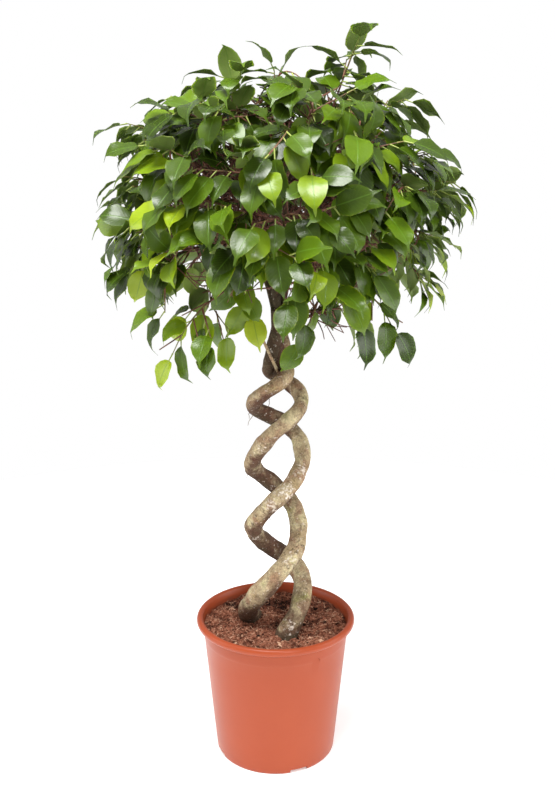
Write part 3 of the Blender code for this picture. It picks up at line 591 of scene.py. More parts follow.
class Leaf:
    """Where a leaf is and how it is turned, and its solid's plain shape for testing what it crosses."""

    PETIOLE_FACES = 4
    age = None

    def __init__(self, root, along, face, size, bend, phase):
        self.root, self.size, self.bend, self.phase = root, size, bend, phase
        self.y = unit(along)
        self.z = unit(face - self.y * (face @ self.y))
        self.x = np.cross(self.y, self.z)

    def on_petiole(self, share, across, lift):
        """A point at a share of the straight petiole, across it and lifted off it."""
        return self.root + share * self.size * PETIOLE * self.y + across * self.x + lift * self.z

    def on_blade(self, s, across, lift):
        """A point s along the blade's bent midline, across the midrib and lifted off it."""
        turn, length = self.bend * s, self.size * BLADE_LENGTH
        ahead = self.size * PETIOLE + length * np.sin(turn) / self.bend + lift * np.sin(turn)
        drop = length * (1 - np.cos(turn)) / self.bend - lift * np.cos(turn)
        return self.root + across * self.x + ahead * self.y - drop * self.z

    def edge(self, side, share, width, grow):
        """A point of the blade's folded, wavy edge."""
        across = width * (self.size * BLADE_HALF_WIDTH + grow)
        wave = LEAF_WAVE * np.sin(self.phase + LEAF_WAVES * share + side)
        return self.on_blade(share, side * across, LEAF_FOLD * across + wave)

    def mesh(self, grow=0.0):
        """A blade fanned from a ridge point on each face, then the three-sided petiole's faces."""
        corners = PETIOLE_RADIUS * np.array(((-1.0, 0.5), (1.0, 0.5), (0.0, -1.0)))
        left, right, under = (self.on_petiole(1, *corner) for corner in corners)
        foot = [self.on_petiole(0, *(FOOT_SHARE * corner)) for corner in corners]
        rim = [left] + [self.edge(-1, *row, grow) for row in OUTLINE] + [self.on_blade(1, 0, 0)]
        rim += [self.edge(1, *row, grow) for row in reversed(OUTLINE)] + [right]
        thick = 0.5 * BLADE_THICK + grow
        points = rim + [under, self.on_blade(RIDGE, 0, thick), self.on_blade(RIDGE, 0, -thick)] + foot
        last = len(rim) - 1
        low, up, down = last + 1, last + 2, last + 3
        a, b, c = last + 4, last + 5, last + 6
        faces = [(i + 1, i, up) for i in range(last)] + [(0, last, up)]
        faces += [(i, i + 1, down) for i in range(last)] + [(last, low, down), (low, 0, down)]
        faces += [(0, a, b, last), (last, b, c, low), (low, c, a, 0), (c, b, a)]
        return points, faces


class Thicket:
    """What has grown so far, for testing that a new leaf or twig stands clear of it."""

    def __init__(self):
        self.balls, self.trees, self.owners = np.zeros((8192, 4)), [], []

    def ball(self, points):
        """The centre of the points' box and the radius that reaches them all."""
        centre = 0.5 * (points.min(0) + points.max(0))
        return np.append(centre, np.linalg.norm(points - centre, axis=1).max())

    def add(self, points, faces, owner):
        """Remembers a mesh that has grown and whose it is."""
        points = np.array(points)
        self.balls[len(self.trees)] = self.ball(points)
        self.trees.append(BVHTree.FromPolygons(points.tolist(), faces))
        self.owners.append(owner)

    def is_clear(self, points, faces, wanted):
        """Whether the mesh crosses nothing that has grown on an owner that is wanted."""
        points = np.array(points)
        ball, grown = self.ball(points), self.balls[:len(self.trees)]
        near = np.linalg.norm(grown[:, :3] - ball[:3], axis=1) <= grown[:, 3] + ball[3]
        tree = None
        for n in np.flatnonzero(near):
            if not wanted(self.owners[n]):
                continue
            tree = tree or BVHTree.FromPolygons(points.tolist(), faces)
            if tree.overlap(self.trees[n]):
                return False
        return True


def grow_leaf(thicket, root, tangent, side, rng, name, tries=TRIES, clearance=CLEARANCE):
    """Turns a leaf until it stands clear of all that has grown, and gives up after that many turns.

    The petiole may enter its own spray's twigs, but the blade may not.
    """
    out = unit(root - CROWN_CENTRE)
    across, flat = unit(np.cross(tangent, out)), out * (1.0, 1.0, 0.0)
    size, bend, phase = rng.uniform(*SIZES), rng.uniform(*BENDS), rng.uniform(0, 2 * np.pi)
    droop, roll, stray = rng.uniform(*DROOPS), rng.uniform(*ROLLS), rng.normal(0, STRAY, 3)
    droop *= 1.0 - LESS_DROOP_ON_TOP * out[2]
    for attempt in range(tries):
        turn = TRY_TURN * attempt * (-1) ** attempt
        along = LEAN_ALONG * tangent + (LEAN_ASIDE * side + turn) * across + LEAN_OUT * flat + stray
        along += (droop + TRY_DROOP * abs(turn)) * DOWN
        face = FACE_OUT * out - FACE_UP * DOWN + (roll + turn) * across
        leaf = Leaf(root - SUNK * tangent, along, face, size, bend, phase)
        points, faces = leaf.mesh(grow=clearance)
        blade = faces[:-Leaf.PETIOLE_FACES]
        if thicket.is_clear(points, faces, lambda owner: owner != name) and thicket.is_clear(
                points, blade, lambda owner: owner == name):
            thicket.add(points, faces, "leaf")
            return leaf
    return None


def lay_wood(plan, hubs):
    """Each stem's path, its limbs and its branchlets, what has grown, and the way each branchlet ends."""
    thicket, headings, stems = Thicket(), {}, {}
    for name, rows in (("stem_left", LEFT_STEM), ("stem_right", RIGHT_STEM)):
        path, radii = stem_path(rows)
        side = -1.0 if name == "stem_left" else 1.0
        thicket.add(*tube(path, radii + GAP, STEM_SIDES), name)
        own = sorted((tuple(hub) for hub in hubs if side_of(hub) == side), key=lambda h: h[2])
        forks = np.linspace(LIMB_FORKS, 0.0, len(own))[:, None] * (path[-3] - path[-1]) + path[-1]
        to_hub = {hub: limb_curve(fork, np.array(hub)) for fork, hub in zip(forks, own)}
        branchlets, served = {}, dict.fromkeys(to_hub, 0)
        for n, (_, root, hub, half) in enumerate(plan):
            if half != side:
                continue
            start, _ = point_on(to_hub[tuple(hub)], 1.0 - BRANCHLET_STEP * served[tuple(hub)])
            served[tuple(hub)] += 1
            branchlets[n] = branchlet_curve(start, root)
            headings[n] = unit(branchlets[n][-1] - branchlets[n][-2])
        limbs = [(limb, LIMB_RADII) for limb in to_hub.values()]
        if name == "stem_right":
            limbs.append((np.array(LOW_LIMB), LOW_LIMB_RADII))
        grown = [(limb, ends, LIMB_SIDES) for limb, ends in limbs]
        grown += [(curve, BRANCHLET_RADII, TWIG_SIDES) for curve in branchlets.values()]
        for curve, ends, sides in grown:
            thicket.add(*tube(curve, np.linspace(*ends, len(curve)) + GAP, sides), name)
        stems[name] = (path, radii, limbs, branchlets)
    return stems, thicket, headings


def lay_sprays(plan, thicket, headings):
    """Each spray's twigs, and its leaves, which are set a round at a time over the whole crown."""
    sprays = {}
    for n, (tip, root, _, _) in enumerate(plan):
        name = f"spray_{n + 1:02d}"
        twig, side = twig_curve(root, headings[n], tip), (-1) ** n
        sprays[name] = {"twigs": [], "leaves": []}
        for path, ends, heading in ((twig, TWIG_RADII, headings[n]),
                                    (side_twig(twig, side), SIDE_TWIG_RADII, None)):
            up = unit(path[0] - CROWN_CENTRE) - DOWN
            points, faces = tube(path, np.linspace(*ends, len(path)), TWIG_SIDES, up, heading)
            if path is twig or thicket.is_clear(points, faces, lambda owner: owner != name):
                sprays[name]["twigs"].append((path, ends))
                thicket.add(points, faces, name)
    rounds = [(0, share) for share in reversed(LEAVES_ON_TWIG)]
    rounds += [(1, share) for share in reversed(LEAVES_ON_SIDE)]
    for turn, (shoot, share) in enumerate(rounds):
        for n, (name, spray) in enumerate(sprays.items()):
            if shoot >= len(spray["twigs"]):
                continue
            root, tangent = point_on(spray["twigs"][shoot][0], share)
            side = 0.0 if share == 1.0 else (-1.0) ** (turn + n)
            leaf = grow_leaf(thicket, root, tangent, side, np.random.default_rng((SEED, n, turn)), name)
            if leaf:
                spray["leaves"].append(leaf)
    return sprays


# Growth that the solids leave out


def thicken(sprays, stems, thicket):
    """Adds side twigs to each spray, and leaves to all its twigs and its branchlet, where there is room."""
    branchlets = {n: curve for stem in stems.values() for n, curve in stem[3].items()}
    for n, (name, spray) in enumerate(sprays.items()):
        rng = np.random.default_rng((SEED, n, SIDE_TWIG_DRAWS))
        main = spray["twigs"][0][0]
        spray["extra"], spray["shoots"] = [], []
        for share, side in EXTRA_TWIGS:
            side *= -((-1) ** n)
            path = side_twig(main, side, share, rng.uniform(*EXTRA_TWIG_LENGTHS))
            points, faces = tube(path, EXTRA_TWIG_RADII, TWIG_SIDES)
            if thicket.is_clear(points, faces, lambda owner: owner == "leaf"):
                thicket.add(points, faces, name)
                spray["extra"].append(path)
    add_front_leaves(sprays[FRONT_SPRAY], thicket)
    add_shoots(sprays, branchlets, thicket)
    rounds = [(kind, share) for kind, shares in EXTRA_LEAVES for share in shares]
    for turn, (kind, share) in enumerate(rounds):
        for n, (name, spray) in enumerate(sprays.items()):
            if n in THIN_SPRAYS:
                continue
            paths = {
                "shoots": spray["shoots"],
                "extra": spray["extra"],
                "main": [spray["twigs"][0][0]],
                "side": [path for path, _ in spray["twigs"][1:]],
                "inner": [branchlets[n]],
            }[kind]
            if kind == "inner" and branchlets[n][-1][2] < INNER_LEAVES_FROM:
                continue
            for k, path in enumerate(paths):
                root, tangent = point_on(path, share)
                side = 0.0 if share == 1.0 else (-1.0) ** (turn + n + k)
                rng = np.random.default_rng((SEED, n, LEAF_DRAWS + DRAWS_A_ROUND * turn + k))
                leaf = grow_leaf(thicket, root, tangent, side, rng, name, EXTRA_TRIES, 0.0)
                if leaf:
                    spray["leaves"].append(leaf)


def add_front_leaves(spray, thicket):
    """Leaves on the shoot in front of the stems' tops and on the one that hangs from the low limb. Each is
    turned aside until it crosses nothing."""
    for root, along, size, bend, age in FRONT_LEAVES:
        root, along = np.array(root), unit(np.array(along))
        across = unit(np.cross(along, FRONT_FACE))
        for attempt in range(TRIES):
            turn = TRY_TURN * attempt * (-1) ** attempt
            leaf = Leaf(
                root, along + turn * across, FRONT_FACE - turn * across, size, bend, FRONT_WAVE * age)
            points, faces = leaf.mesh()
            if thicket.is_clear(points, faces[:-Leaf.PETIOLE_FACES], lambda owner: True):
                thicket.add(points, faces, "leaf")
                leaf.age = age
                spray["leaves"].append(leaf)
                break


def add_shoots(sprays, branchlets, thicket):
    """Fills the dome between the sprays: each shoot leaves the nearest wood that is some way off and
    nearer the crown's centre, rises and arches over, and belongs to that wood's spray."""
    rng = np.random.default_rng((SEED, SHOOT_DRAWS))
    places, headings, owners = [], [], []
    for n, spray in enumerate(sprays.values()):
        for path in (branchlets[n], spray["twigs"][0][0]):
            for share in SHOOT_FEET:
                place, heading = point_on(path, share)
                places.append(place)
                headings.append(heading)
                owners.append(n)
    places, names = np.array(places), list(sprays)
    reach = np.linalg.norm(places - CROWN_CENTRE, axis=1)
    evenly = zip(*spread(SHOOTS, LOWEST_SHOOT, 0.0))
    tips = [dome(turn, rise, rng.uniform(*SHOOT_SHARES)) for turn, rise in evenly]
    for tip in tips + [dome(*tip) for tip in LOW_TIPS]:
        away = np.linalg.norm(places - tip, axis=1)
        near = np.where((away > SHOOT_LENGTH) & (reach < np.linalg.norm(tip - CROWN_CENTRE)), away, np.inf)
        k = int(near.argmin())
        if np.isinf(near[k]):
            continue
        rise = unit(headings[k] + SHOOT_AHEAD * unit(tip - places[k]) - SHOOT_UP * DOWN)
        path = bezier(places[k], places[k] + SHOOT_ARCH * near[k] * rise, tip, SHOOT_ROWS)
        points, faces = tube(path, np.linspace(*SHOOT_RADII, SHOOT_ROWS), TWIG_SIDES)
        if thicket.is_clear(points, faces, lambda owner: owner == "leaf"):
            thicket.add(points, faces, names[owners[k]])
            sprays[names[owners[k]]]["shoots"].append(path)


def bare_twigs(stems, sprays):
    """Thin inner twigs: each leaves a limb, branchlet or twig at random and bends outwards and up."""
    rng = np.random.default_rng((SEED, BARE_TWIG_DRAWS))
    limbs = [limb for stem in stems.values() for limb, _ in stem[2]]
    wood = limbs + 2 * [curve for stem in stems.values() for curve in stem[3].values()]
    wood += [spray["twigs"][0][0] for spray in sprays.values()]
    paths = []
    for n in range(BARE_TWIGS):
        low = n < LOW_TWIGS
        owner = limbs[-1] if low else wood[rng.integers(len(wood))]
        start, tangent = point_on(owner, rng.uniform(*(LOW_TWIG_SHARES if low else BARE_SHARES)))
        out = unit(start - CROWN_CENTRE)
        heading = unit(BARE_AHEAD * tangent + rng.normal(0, BARE_SPREAD, 3) + BARE_OUT * out)
        length = rng.uniform(*BARE_LENGTHS)
        pull = start + 0.5 * length * heading
        end = start + length * unit(heading + BARE_END_OUT * out + rng.normal(0, BARE_END_SPREAD, 3))
        if share_of_dome(end) < BARE_UP_TO and (low or end[2] > BARE_DOWN_TO):
            paths.append(bezier(start, pull, end, BARE_ROWS))
    return paths


# Meshes


class Shell:
    """Points, faces and per-point values of many shapes, which are put together into one mesh."""

    def __init__(self):
        self.points, self.faces, self.slots, self.values, self.count = [], [], [], {}, 0

    def add(self, points, faces, slot, **values):
        """Slots are one for all faces or one each, and values are one for all points or one each."""
        points = np.asarray(points, float).reshape(-1, 3)
        self.points.append(points)
        self.faces += [[self.count + i for i in face] for face in faces]
        self.slots += np.broadcast_to(slot, len(faces)).tolist()
        for name in set(self.values) | set(values):
            rows = self.values.setdefault(name, [np.zeros(self.count)])
            rows.append(np.broadcast_to(np.asarray(values.get(name, 0.0), float).ravel(), len(points)))
        self.count += len(points)

    def add_tubes(self, paths, radii, sides, slot, **values):
        """Tubes of like numbers of points: rings square to each path, carried on without twist."""
        paths, radii = np.asarray(paths, float), np.asarray(radii, float)
        tangents = units(np.gradient(paths, axis=1))
        least = np.eye(3)[np.abs(tangents[:, 0]).argmin(1)]
        normals = np.empty_like(paths)
        for p in range(paths.shape[1]):
            least = units(least - tangents[:, p] * (least * tangents[:, p]).sum(1, keepdims=True))
            normals[:, p] = least
        across = np.cross(tangents, normals)
        angle = np.arange(sides) * 2 * np.pi / sides
        spokes = np.cos(angle)[:, None] * normals[:, :, None] + np.sin(angle)[:, None] * across[:, :, None]
        points = paths[:, :, None] + radii[..., None, None] * spokes
        count, rings = paths.shape[:2]
        along = np.cumsum(np.linalg.norm(np.diff(paths, axis=1, prepend=paths[:, :1]), axis=2), 1)
        quads = tube_faces(rings, sides).tolist()
        ends = [list(range(sides))[::-1], list(range((rings - 1) * sides, rings * sides))]
        for k in range(count):
            self.add(points[k], quads + ends, slot, along=np.repeat(along[k], sides), **values)
        return points

    def add_wood(self, path, radii, steps, sides, slot, **values):
        """A tube along a path made steps times as fine. Its radius goes evenly from one to the other."""
        fine = finer(np.c_[path, np.linspace(*radii, len(path))], steps)
        self.add_tubes(fine[None, :, :3], fine[None, :, 3], sides, slot, **values)

    def mesh(self, name, finishes, sharp=None):
        """The smooth mesh of all the shapes. Edges that turn by more than sharp degrees stay sharp."""
        made = bpy.data.meshes.new(name)
        made.from_pydata(np.vstack(self.points), [], self.faces)
        for finish in finishes:
            made.materials.append(finish)
        made.polygons.foreach_set("material_index", np.array(self.slots, np.int32))
        made.polygons.foreach_set("use_smooth", np.ones(len(self.faces), bool))
        for key, rows in self.values.items():
            layer = made.attributes.new(key, "FLOAT", "POINT")
            layer.data.foreach_set("value", np.concatenate(rows).astype(np.float32))
        made.update()
        if sharp:
            made.set_sharp_from_angle(angle=np.radians(sharp))
        return made


def add_piece(name, mesh, slot, *nodes):
    """Puts a mesh in the scene as a piece that rides on the body and stands for the nodes."""
    piece = bpy.data.objects.new(name, mesh)
    bpy.context.scene.collection.objects.link(piece)
    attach(piece, BODY)
    if nodes:
        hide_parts(*nodes)
    return piece


def fine_leaves(leaves, rng):
    """Every leaf as one closed tube of eight-sided rings, from the petiole's foot to the drip tip.

    The petiole's rings are round. The blade's have an edge point, a shoulder, the midrib, a shoulder
    and an edge point on top, and a shoulder, the raised midrib and a shoulder underneath. The midline
    turns downwards by the leaf's bend times the share along it, and by a further curl past TIP_FROM,
    and each edge is lifted by the fold and by two sine waves.
    """
    count = len(leaves)
    root, x, y, z, size, bend, phase = (
        np.array([getattr(leaf, part) for leaf in leaves])
        for part in ("root", "x", "y", "z", "size", "bend", "phase")
    )
    size, bend, phase = size[:, None], bend[:, None], phase[:, None, None]
    thin = PETIOLE_RADIUS * PETIOLE_TAPER[:, None]
    stalk = root[:, None, None] + (PETIOLE_ROWS * size * PETIOLE)[:, :, None, None] * y[:, None, None]
    stalk = stalk + (thin * np.cos(RING_TURN))[None, :, :, None] * x[:, None, None]
    stalk = stalk + (thin * np.sin(RING_TURN))[None, :, :, None] * z[:, None, None]
    s = np.linspace(0, 1, MIDLINE_STEPS + 1)
    curl = rng.uniform(*TIP_CURLS, (count, 1)) * np.clip((s - TIP_FROM) / (1 - TIP_FROM), 0, 1) ** 2
    turn = bend * s + curl
    ahead = (np.cumsum(np.cos(turn), 1) - np.cos(turn[:, :1])) / MIDLINE_STEPS
    drop = np.cumsum(np.sin(turn), 1) / MIDLINE_STEPS
    at = (ROWS * MIDLINE_STEPS).round().astype(int)
    turn, ahead, drop = turn[:, at, None], ahead[:, at, None], drop[:, at, None]
    length = (size * BLADE_LENGTH)[:, :, None]
    rows, widths = ROWS[:, None], WIDTHS[:, None]
    across = RING_ACROSS * widths * (size * BLADE_HALF_WIDTH)[:, :, None]
    sway = SIDEWAYS * rng.uniform(-1, 1, (count, 1, 1)) * rows**2
    sides = np.sign(RING_ACROSS)
    wave = LEAF_WAVE * np.sin(phase + LEAF_WAVES * rows + sides)
    wave = wave + RIPPLE * np.sin(RIPPLE_PHASE * phase + RIPPLES * rows + 2 * sides)
    wave = wave * np.abs(RING_ACROSS) * np.minimum(1, FLAT_WHERE_NARROW * widths)
    lift = LEAF_FOLD * np.abs(across) + wave + RING_LIFT * THICKS[:, None]
    blade = root[:, None, None] + (size * PETIOLE)[:, :, None, None] * y[:, None, None]
    blade = blade + (across + sway)[..., None] * x[:, None, None]
    blade = blade + (length * ahead + lift * np.sin(turn))[..., None] * y[:, None, None]
    blade = blade - (length * drop - lift * np.cos(turn))[..., None] * z[:, None, None]
    along = np.concatenate([PETIOLE_ROWS - 1.0, ROWS]).repeat(LEAF_SIDES)
    return np.concatenate([stalk, blade], 1), along


LEAF_SIDES = len(RING_ACROSS)
LEAF_RINGS = len(ROWS) + len(PETIOLE_ROWS)
LEAF_QUADS = tube_faces(LEAF_RINGS, LEAF_SIDES)[:, ::-1].reshape(-1, LEAF_SIDES, 4)
# The quads underneath start a corner later, so that they are split the same way as those above them
LEAF_QUADS[:, LEAF_SIDES // 2:] = np.roll(LEAF_QUADS[:, LEAF_SIDES // 2:], 1, 2)
LEAF_FACES = LEAF_QUADS.reshape(-1, 4).tolist() + [
    list(range(LEAF_SIDES)), list(range(LEAF_SIDES * LEAF_RINGS))[-LEAF_SIDES:][::-1],
]
# Which finish each face has, and the petiole's foot and the tip
UPPER, UNDER, STALK, TWIG = 0, 1, 2, 3
LEAF_SLOTS = np.concatenate([
    np.full(LEAF_SIDES * (len(PETIOLE_ROWS) - 1), STALK),
    np.tile(np.repeat((UPPER, UNDER), LEAF_SIDES // 2), len(ROWS)),
    (STALK, UPPER),
])


def fill_in(tree, target, inputs):
    """Gives a node its inputs, by name or number: a value is set, and an output is linked."""
    for key, value in inputs.items():
        if isinstance(value, bpy.types.NodeSocket):
            tree.links.new(value, target.inputs[key])
        else:
            target.inputs[key].default_value = value


def node(tree, kind, inputs=(), output=0, stops=(), **settings):
    """Adds a node with its settings, a ramp's stops and its inputs, and returns one of its outputs. Inputs
    without names are in the node's own order."""
    added = tree.nodes.new("ShaderNode" + kind)
    for key, value in settings.items():
        setattr(added, key, value)
    if stops:
        elements = added.color_ramp.elements
        for place, _ in stops[2:]:
            elements.new(place)
        for element, (place, colour) in zip(elements, stops):
            element.position, element.color = place, colour
    fill_in(tree, added, inputs if isinstance(inputs, dict) else dict(enumerate(inputs)))
    return added.outputs[output]


def material(name, sockets):
    """A new material, its nodes and its shader, with the values that are the same all over the surface."""
    made = bpy.data.materials.new(name)
    made.use_nodes = True
    tree = made.node_tree
    shader = tree.nodes["Principled BSDF"]
    fill_in(tree, shader, sockets)
    made.diffuse_color = sockets["Base Color"]
    return made, tree, shader


def mottling(tree, *rows):
    """A pattern of uneven patches over the object for each row: the patches' size in millimetres, a shift
    that sets the pattern apart, and, where they differ, how many finer sizes it has and how strong."""
    place = node(tree, "TexCoord", output="Object")
    for size, shift, detail, strength in ((row + MOTTLE_FINENESS)[:4] for row in rows):
        moved = node(tree, "VectorMath", (place, (shift, shift, shift)), operation="ADD")
        yield node(tree, "TexNoise", {
            "Vector": moved, "Scale": 1000.0 / size, "Detail": detail, "Roughness": strength})


def coated(tree, colour, *coats):
    """Lays coats over a colour. Each has its colour, the most that it covers, and its drivers. It covers
    nothing where a driver is at the first of its two values, and its most where all are at the second."""
    for coat, cover, *drivers in coats:
        for driver, none, full in drivers:
            cover = node(tree, "MapRange", (driver, none, full, 0.0, cover))
        colour = node(tree, "Mix", {FACTOR: cover, FIRST: colour, SECOND: coat}, MIXED, data_type="RGBA")
    return colour


def pot_plastic(settings):
    """Injection-moulded polypropylene: a satin skin, slightly uneven in colour, with peat dust and painted
    shade inside its rim. The mould's faint grain is drawn coarser than it is, so that it shows."""
    made, tree, shader = material("moulded polypropylene", {
        "Base Color": settings.colour, "Roughness": settings.roughness, "Specular IOR Level": 0.28})
    tint, dust_and_shade, grain = mottling(tree, (111.1, 0.0), (16.67, 2.0), (0.7143, 0.0, 2.0, 0.55))
    colour = node(tree, "ValToRGB", (tint,), stops=((0.30, settings.colour), (0.72, settings.light)))
    place = node(tree, "TexCoord", output="Object")
    flat = node(tree, "VectorMath", (place, (1.0, 1.0, 0.0)), operation="MULTIPLY")
    reach = node(tree, "VectorMath", (flat,), "Value", operation="LENGTH")
    height = node(tree, "SeparateXYZ", (place,), "Z")
    # Peat dust and painted shade: a dark coat on the inner wall below the rim
    colour = coated(tree, colour, (
        linear("#5B3A2C"), 0.75, (reach, *DUST_AND_SHADE_REACHES), (height, *DUST_AND_SHADE_HEIGHTS), (dust_and_shade, 0.30, 0.62)))
    skin = node(tree, "Bump", {"Height": grain, "Strength": 0.10, "Distance": 0.0002})
    fill_in(tree, shader, {"Base Color": colour, "Normal": skin})
    return made


def peat(settings):
    """Peat and coir: matt and crumbly, from near black in the painted shade of the hollows to light chips
    and fibres.
    """
    made, tree, shader = material("peat and coir", {
        "Base Color": settings.colour, "Roughness": 0.95, "Specular IOR Level": 0.15})
    crumb, = mottling(tree, (3.333, 0.0))
    # The crumbs' contrast is raised about their middle tone, and then each place's tone is added, which
    # holds painted light and shade as well as the lumps' and fibres' own tones
    own = node(tree, "Math", (crumb, 1.3, -0.15), operation="MULTIPLY_ADD")
    tone = node(tree, "Math", (own, node(tree, "Attribute", output="Fac", attribute_name="tone")))
    colour = node(tree, "ValToRGB", (tone,), stops=(
        (0.16, linear("#22130E")), (0.42, settings.colour),
        (0.66, linear("#955F49")), (0.95, linear("#D2A98C"))))
    skin = node(tree, "Bump", {"Height": crumb, "Strength": 0.9, "Distance": 0.0012})
    fill_in(tree, shader, {"Base Color": colour, "Normal": skin})
    return made


def fig_bark(settings):
    """Weeping fig bark: grey-beige with olive and pink-brown patches, dark cracks and whitish scars, and
    painted shade in dark brown on the undersides and the other shaded places. Its fine grain is matt."""
    made, tree, shader = material("fig bark", {
        "Base Color": settings.bark, "Roughness": 0.85, "Specular IOR Level": 0.15})
    tint, patch, shadow, crack, field, scar, speck = mottling(
        tree, (38.46, 0.0), (20.83, 3.0), (25.0, 4.0), (6.667, 5.0), (45.45, 9.0), (4.167, 7.0),
        (2.174, 1.0))
    # The under value carries the painted shade: undersides, the backs of the crossings, the joined tops,
    # the foot at the soil, the callus and the limbs
    under, scarred = (
        node(tree, "Attribute", output="Fac", attribute_name=key) for key in ("under", "scar"))
    # Painted shade: where the shade value is high, the bark is covered in dark brown
    shade = node(tree, "Math", (shadow, 2.2, under), operation="MULTIPLY_ADD")
    depth = node(tree, "MapRange", (shade, 1.2, 3.0))
    dark = node(tree, "ValToRGB", (depth,), stops=((0.35, linear("#4A2E26")), (0.85, linear("#281B13"))))
    cracked = node(tree, "MapRange", (field, 0.44, 0.58))
    cracks = node(tree, "MapRange", (crack, 0.54, 0.66, 0.0, cracked))
    scars = node(tree, "Math", (scarred, 0.15, scar), operation="MULTIPLY_ADD")
    colour = node(tree, "ValToRGB", (tint,), stops=(
        (0.34, linear("#8E7A56")), (0.46, settings.bark),
        (0.57, linear("#BFB18C")), (0.70, linear("#938F5C"))))
    colour = coated(
        tree, colour,
        (settings.patch, 0.6, (patch, 0.50, 0.60)),
        (dark, 0.88, (shade, 1.15, 1.75)),
        (linear("#4A3A2A"), 0.8, (cracks, 0.0, 1.0)),
        (linear("#DDD2C4"), 0.85, (scars, 0.60, 0.72)))
    tone = node(tree, "MapRange", (speck, 0.3, 0.7, 0.15, 0.85))
    colour = node(tree, "Mix", {FACTOR: 0.6, FIRST: colour, SECOND: tone}, MIXED,
                  data_type="RGBA", blend_type="OVERLAY")
    height = node(tree, "Math", (cracks, -0.7, speck), operation="MULTIPLY_ADD")
    skin = node(tree, "Bump", {"Height": height, "Strength": 0.7, "Distance": 0.0010})
    fill_in(tree, shader, {"Base Color": colour, "Normal": skin})
    return made


def twig_bark(settings):
    """Thin bark of the crown's twigs: pink-brown with pale specks, and green towards a fresh one's tip."""
    made, tree, shader = material("young fig bark", {"Base Color": settings.twig, "Roughness": 0.65})
    tint, = mottling(tree, (6.25, 0.0, 4.0, 0.6))
    along, fresh = (
        node(tree, "Attribute", output="Fac", attribute_name=key) for key in ("along", "fresh"))
    colour = node(tree, "ValToRGB", (tint,), stops=(
        (0.35, linear("#43261B")), (0.52, settings.twig), (0.72, linear("#8F6048"))))
    colour = coated(tree, colour, (linear("#66702E"), 0.7, (along, 0.02, 0.08), (fresh, 0.0, 1.0)))
    fill_in(tree, shader, {"Base Color": colour})
    return made


def leaf_face(settings, name, under):
    """A fig leaf's waxy upper face, deep green to fresh yellow-green, or its paler, duller underside. Some
    light passes through, which softens the shadows on it.

    The pale midrib is a line at no distance across, and the side veins are lines that slant away from it.
    """
    made, tree, shader = material(name, {
        "Base Color": settings.mature,
        "Roughness": 0.5 if under else settings.gloss,
        "Specular IOR Level": 0.2 if under else 0.30,
        "Subsurface Weight": 0.22,
        "Subsurface Radius": (0.8, 1.0, 0.25),
        "Subsurface Scale": 0.0010,
    })
    age, across, along = (
        node(tree, "Attribute", output="Fac", attribute_name=key) for key in ("age", "across", "along"))
    colour = node(tree, "ValToRGB", (age,), stops=(
        (0.0, settings.deep), (0.38, settings.mature), (0.7, settings.fresh), (1.0, settings.young)))
    if under:
        colour = coated(tree, colour, (linear("#8B9E58"), 0.5))
    patch, = mottling(tree, (14.29, 0.0, 3.0, 0.55))
    tone = node(tree, "MapRange", (patch, 0.3, 0.7, 0.42, 0.58))
    colour = node(tree, "Mix", {FACTOR: 0.25, FIRST: colour, SECOND: tone}, MIXED,
                  data_type="RGBA", blend_type="OVERLAY")
    aside = node(tree, "Math", (across,), operation="ABSOLUTE")
    rib = node(tree, "MapRange", (aside, 0.07, 0.02))
    slant = node(tree, "Math", (aside, -VEIN_SLANT, along), operation="MULTIPLY_ADD")
    turn = node(tree, "Math", (slant, 2 * np.pi * BLADE_LENGTH / VEIN_GAP), operation="MULTIPLY")
    wave = node(tree, "Math", (turn,), operation="SINE")
    veined = node(tree, "MapRange", (along, 0.0, 0.1))
    veins = node(tree, "MapRange", (wave, 0.55, 1.0, 0.0, veined))
    faint = node(tree, "Math", (veins, 0.15), operation="MULTIPLY")
    line = node(tree, "Math", (rib, faint), operation="MAXIMUM")
    colour = coated(tree, colour, (settings.rib, 0.55, (line, 0.0, 1.0)))
    rib_height, vein_height = (1.0, 0.35) if under else (-1.0, -0.3)
    raised = node(tree, "Math", (veins, vein_height), operation="MULTIPLY")
    height = node(tree, "Math", (rib, rib_height, raised), operation="MULTIPLY_ADD")
    skin = node(tree, "Bump", {"Height": height, "Strength": 0.3, "Distance": 0.0004})
    fill_in(tree, shader, {"Base Color": colour, "Normal": skin})
    return made


def leaf_stalk():
    """The thin, smooth, yellow-green petiole."""
    made, tree, shader = material("fig petiole", {"Base Color": linear("#8FA045"), "Roughness": 0.45})
    tint, = mottling(tree, (11.11, 0.0, 2.0, 0.55))
    colour = node(tree, "ValToRGB", (tint,), stops=((0.35, linear("#7C8C3A")), (0.7, linear("#A7B25C"))))
    fill_in(tree, shader, {"Base Color": colour})
    return made


# Pieces


def revolved(profile, sides):
    """A body of revolution: a profile that starts and ends on the axis, turned about it in equal steps."""
    radius, height = np.asarray(profile, float)[1:-1].T
    angle = np.arange(sides) * 2 * np.pi / sides
    ring = np.stack([np.cos(angle), np.sin(angle)], 1)
    level = np.broadcast_to(height[:, None, None], (len(radius), sides, 1))
    walls = np.concatenate([radius[:, None, None] * ring, level], 2)
    points = np.vstack([walls.reshape(-1, 3), (0, 0, profile[0][1]), (0, 0, profile[-1][1])])
    first, last = len(points) - 2, len(points) - 1
    i = np.arange(sides)
    j = (i + 1) % sides
    end = (len(radius) - 1) * sides
    faces = tube_faces(len(radius), sides).tolist()
    faces += np.stack([np.full(sides, first), j, i], 1).tolist()
    faces += np.stack([np.full(sides, last), end + i, end + j], 1).tolist()
    return points, faces


def outer_wall(height):
    """The pot's outer radius at a height, on the taper or on the collar above it."""
    if height >= COLLAR_FOOT:
        share = (height - COLLAR_FOOT) / (POT_HEIGHT - RIM_DROP - COLLAR_FOOT)
        return COLLAR_FOOT_RADIUS + share * (COLLAR_RADIUS - COLLAR_FOOT_RADIUS)
    share = (height - FOOT_HEIGHT) / (COLLAR_FOOT - FOOT_HEIGHT)
    return FOOT_RADIUS + share * (COLLAR_FOOT_RADIUS - STEP_DEPTH - FOOT_RADIUS)


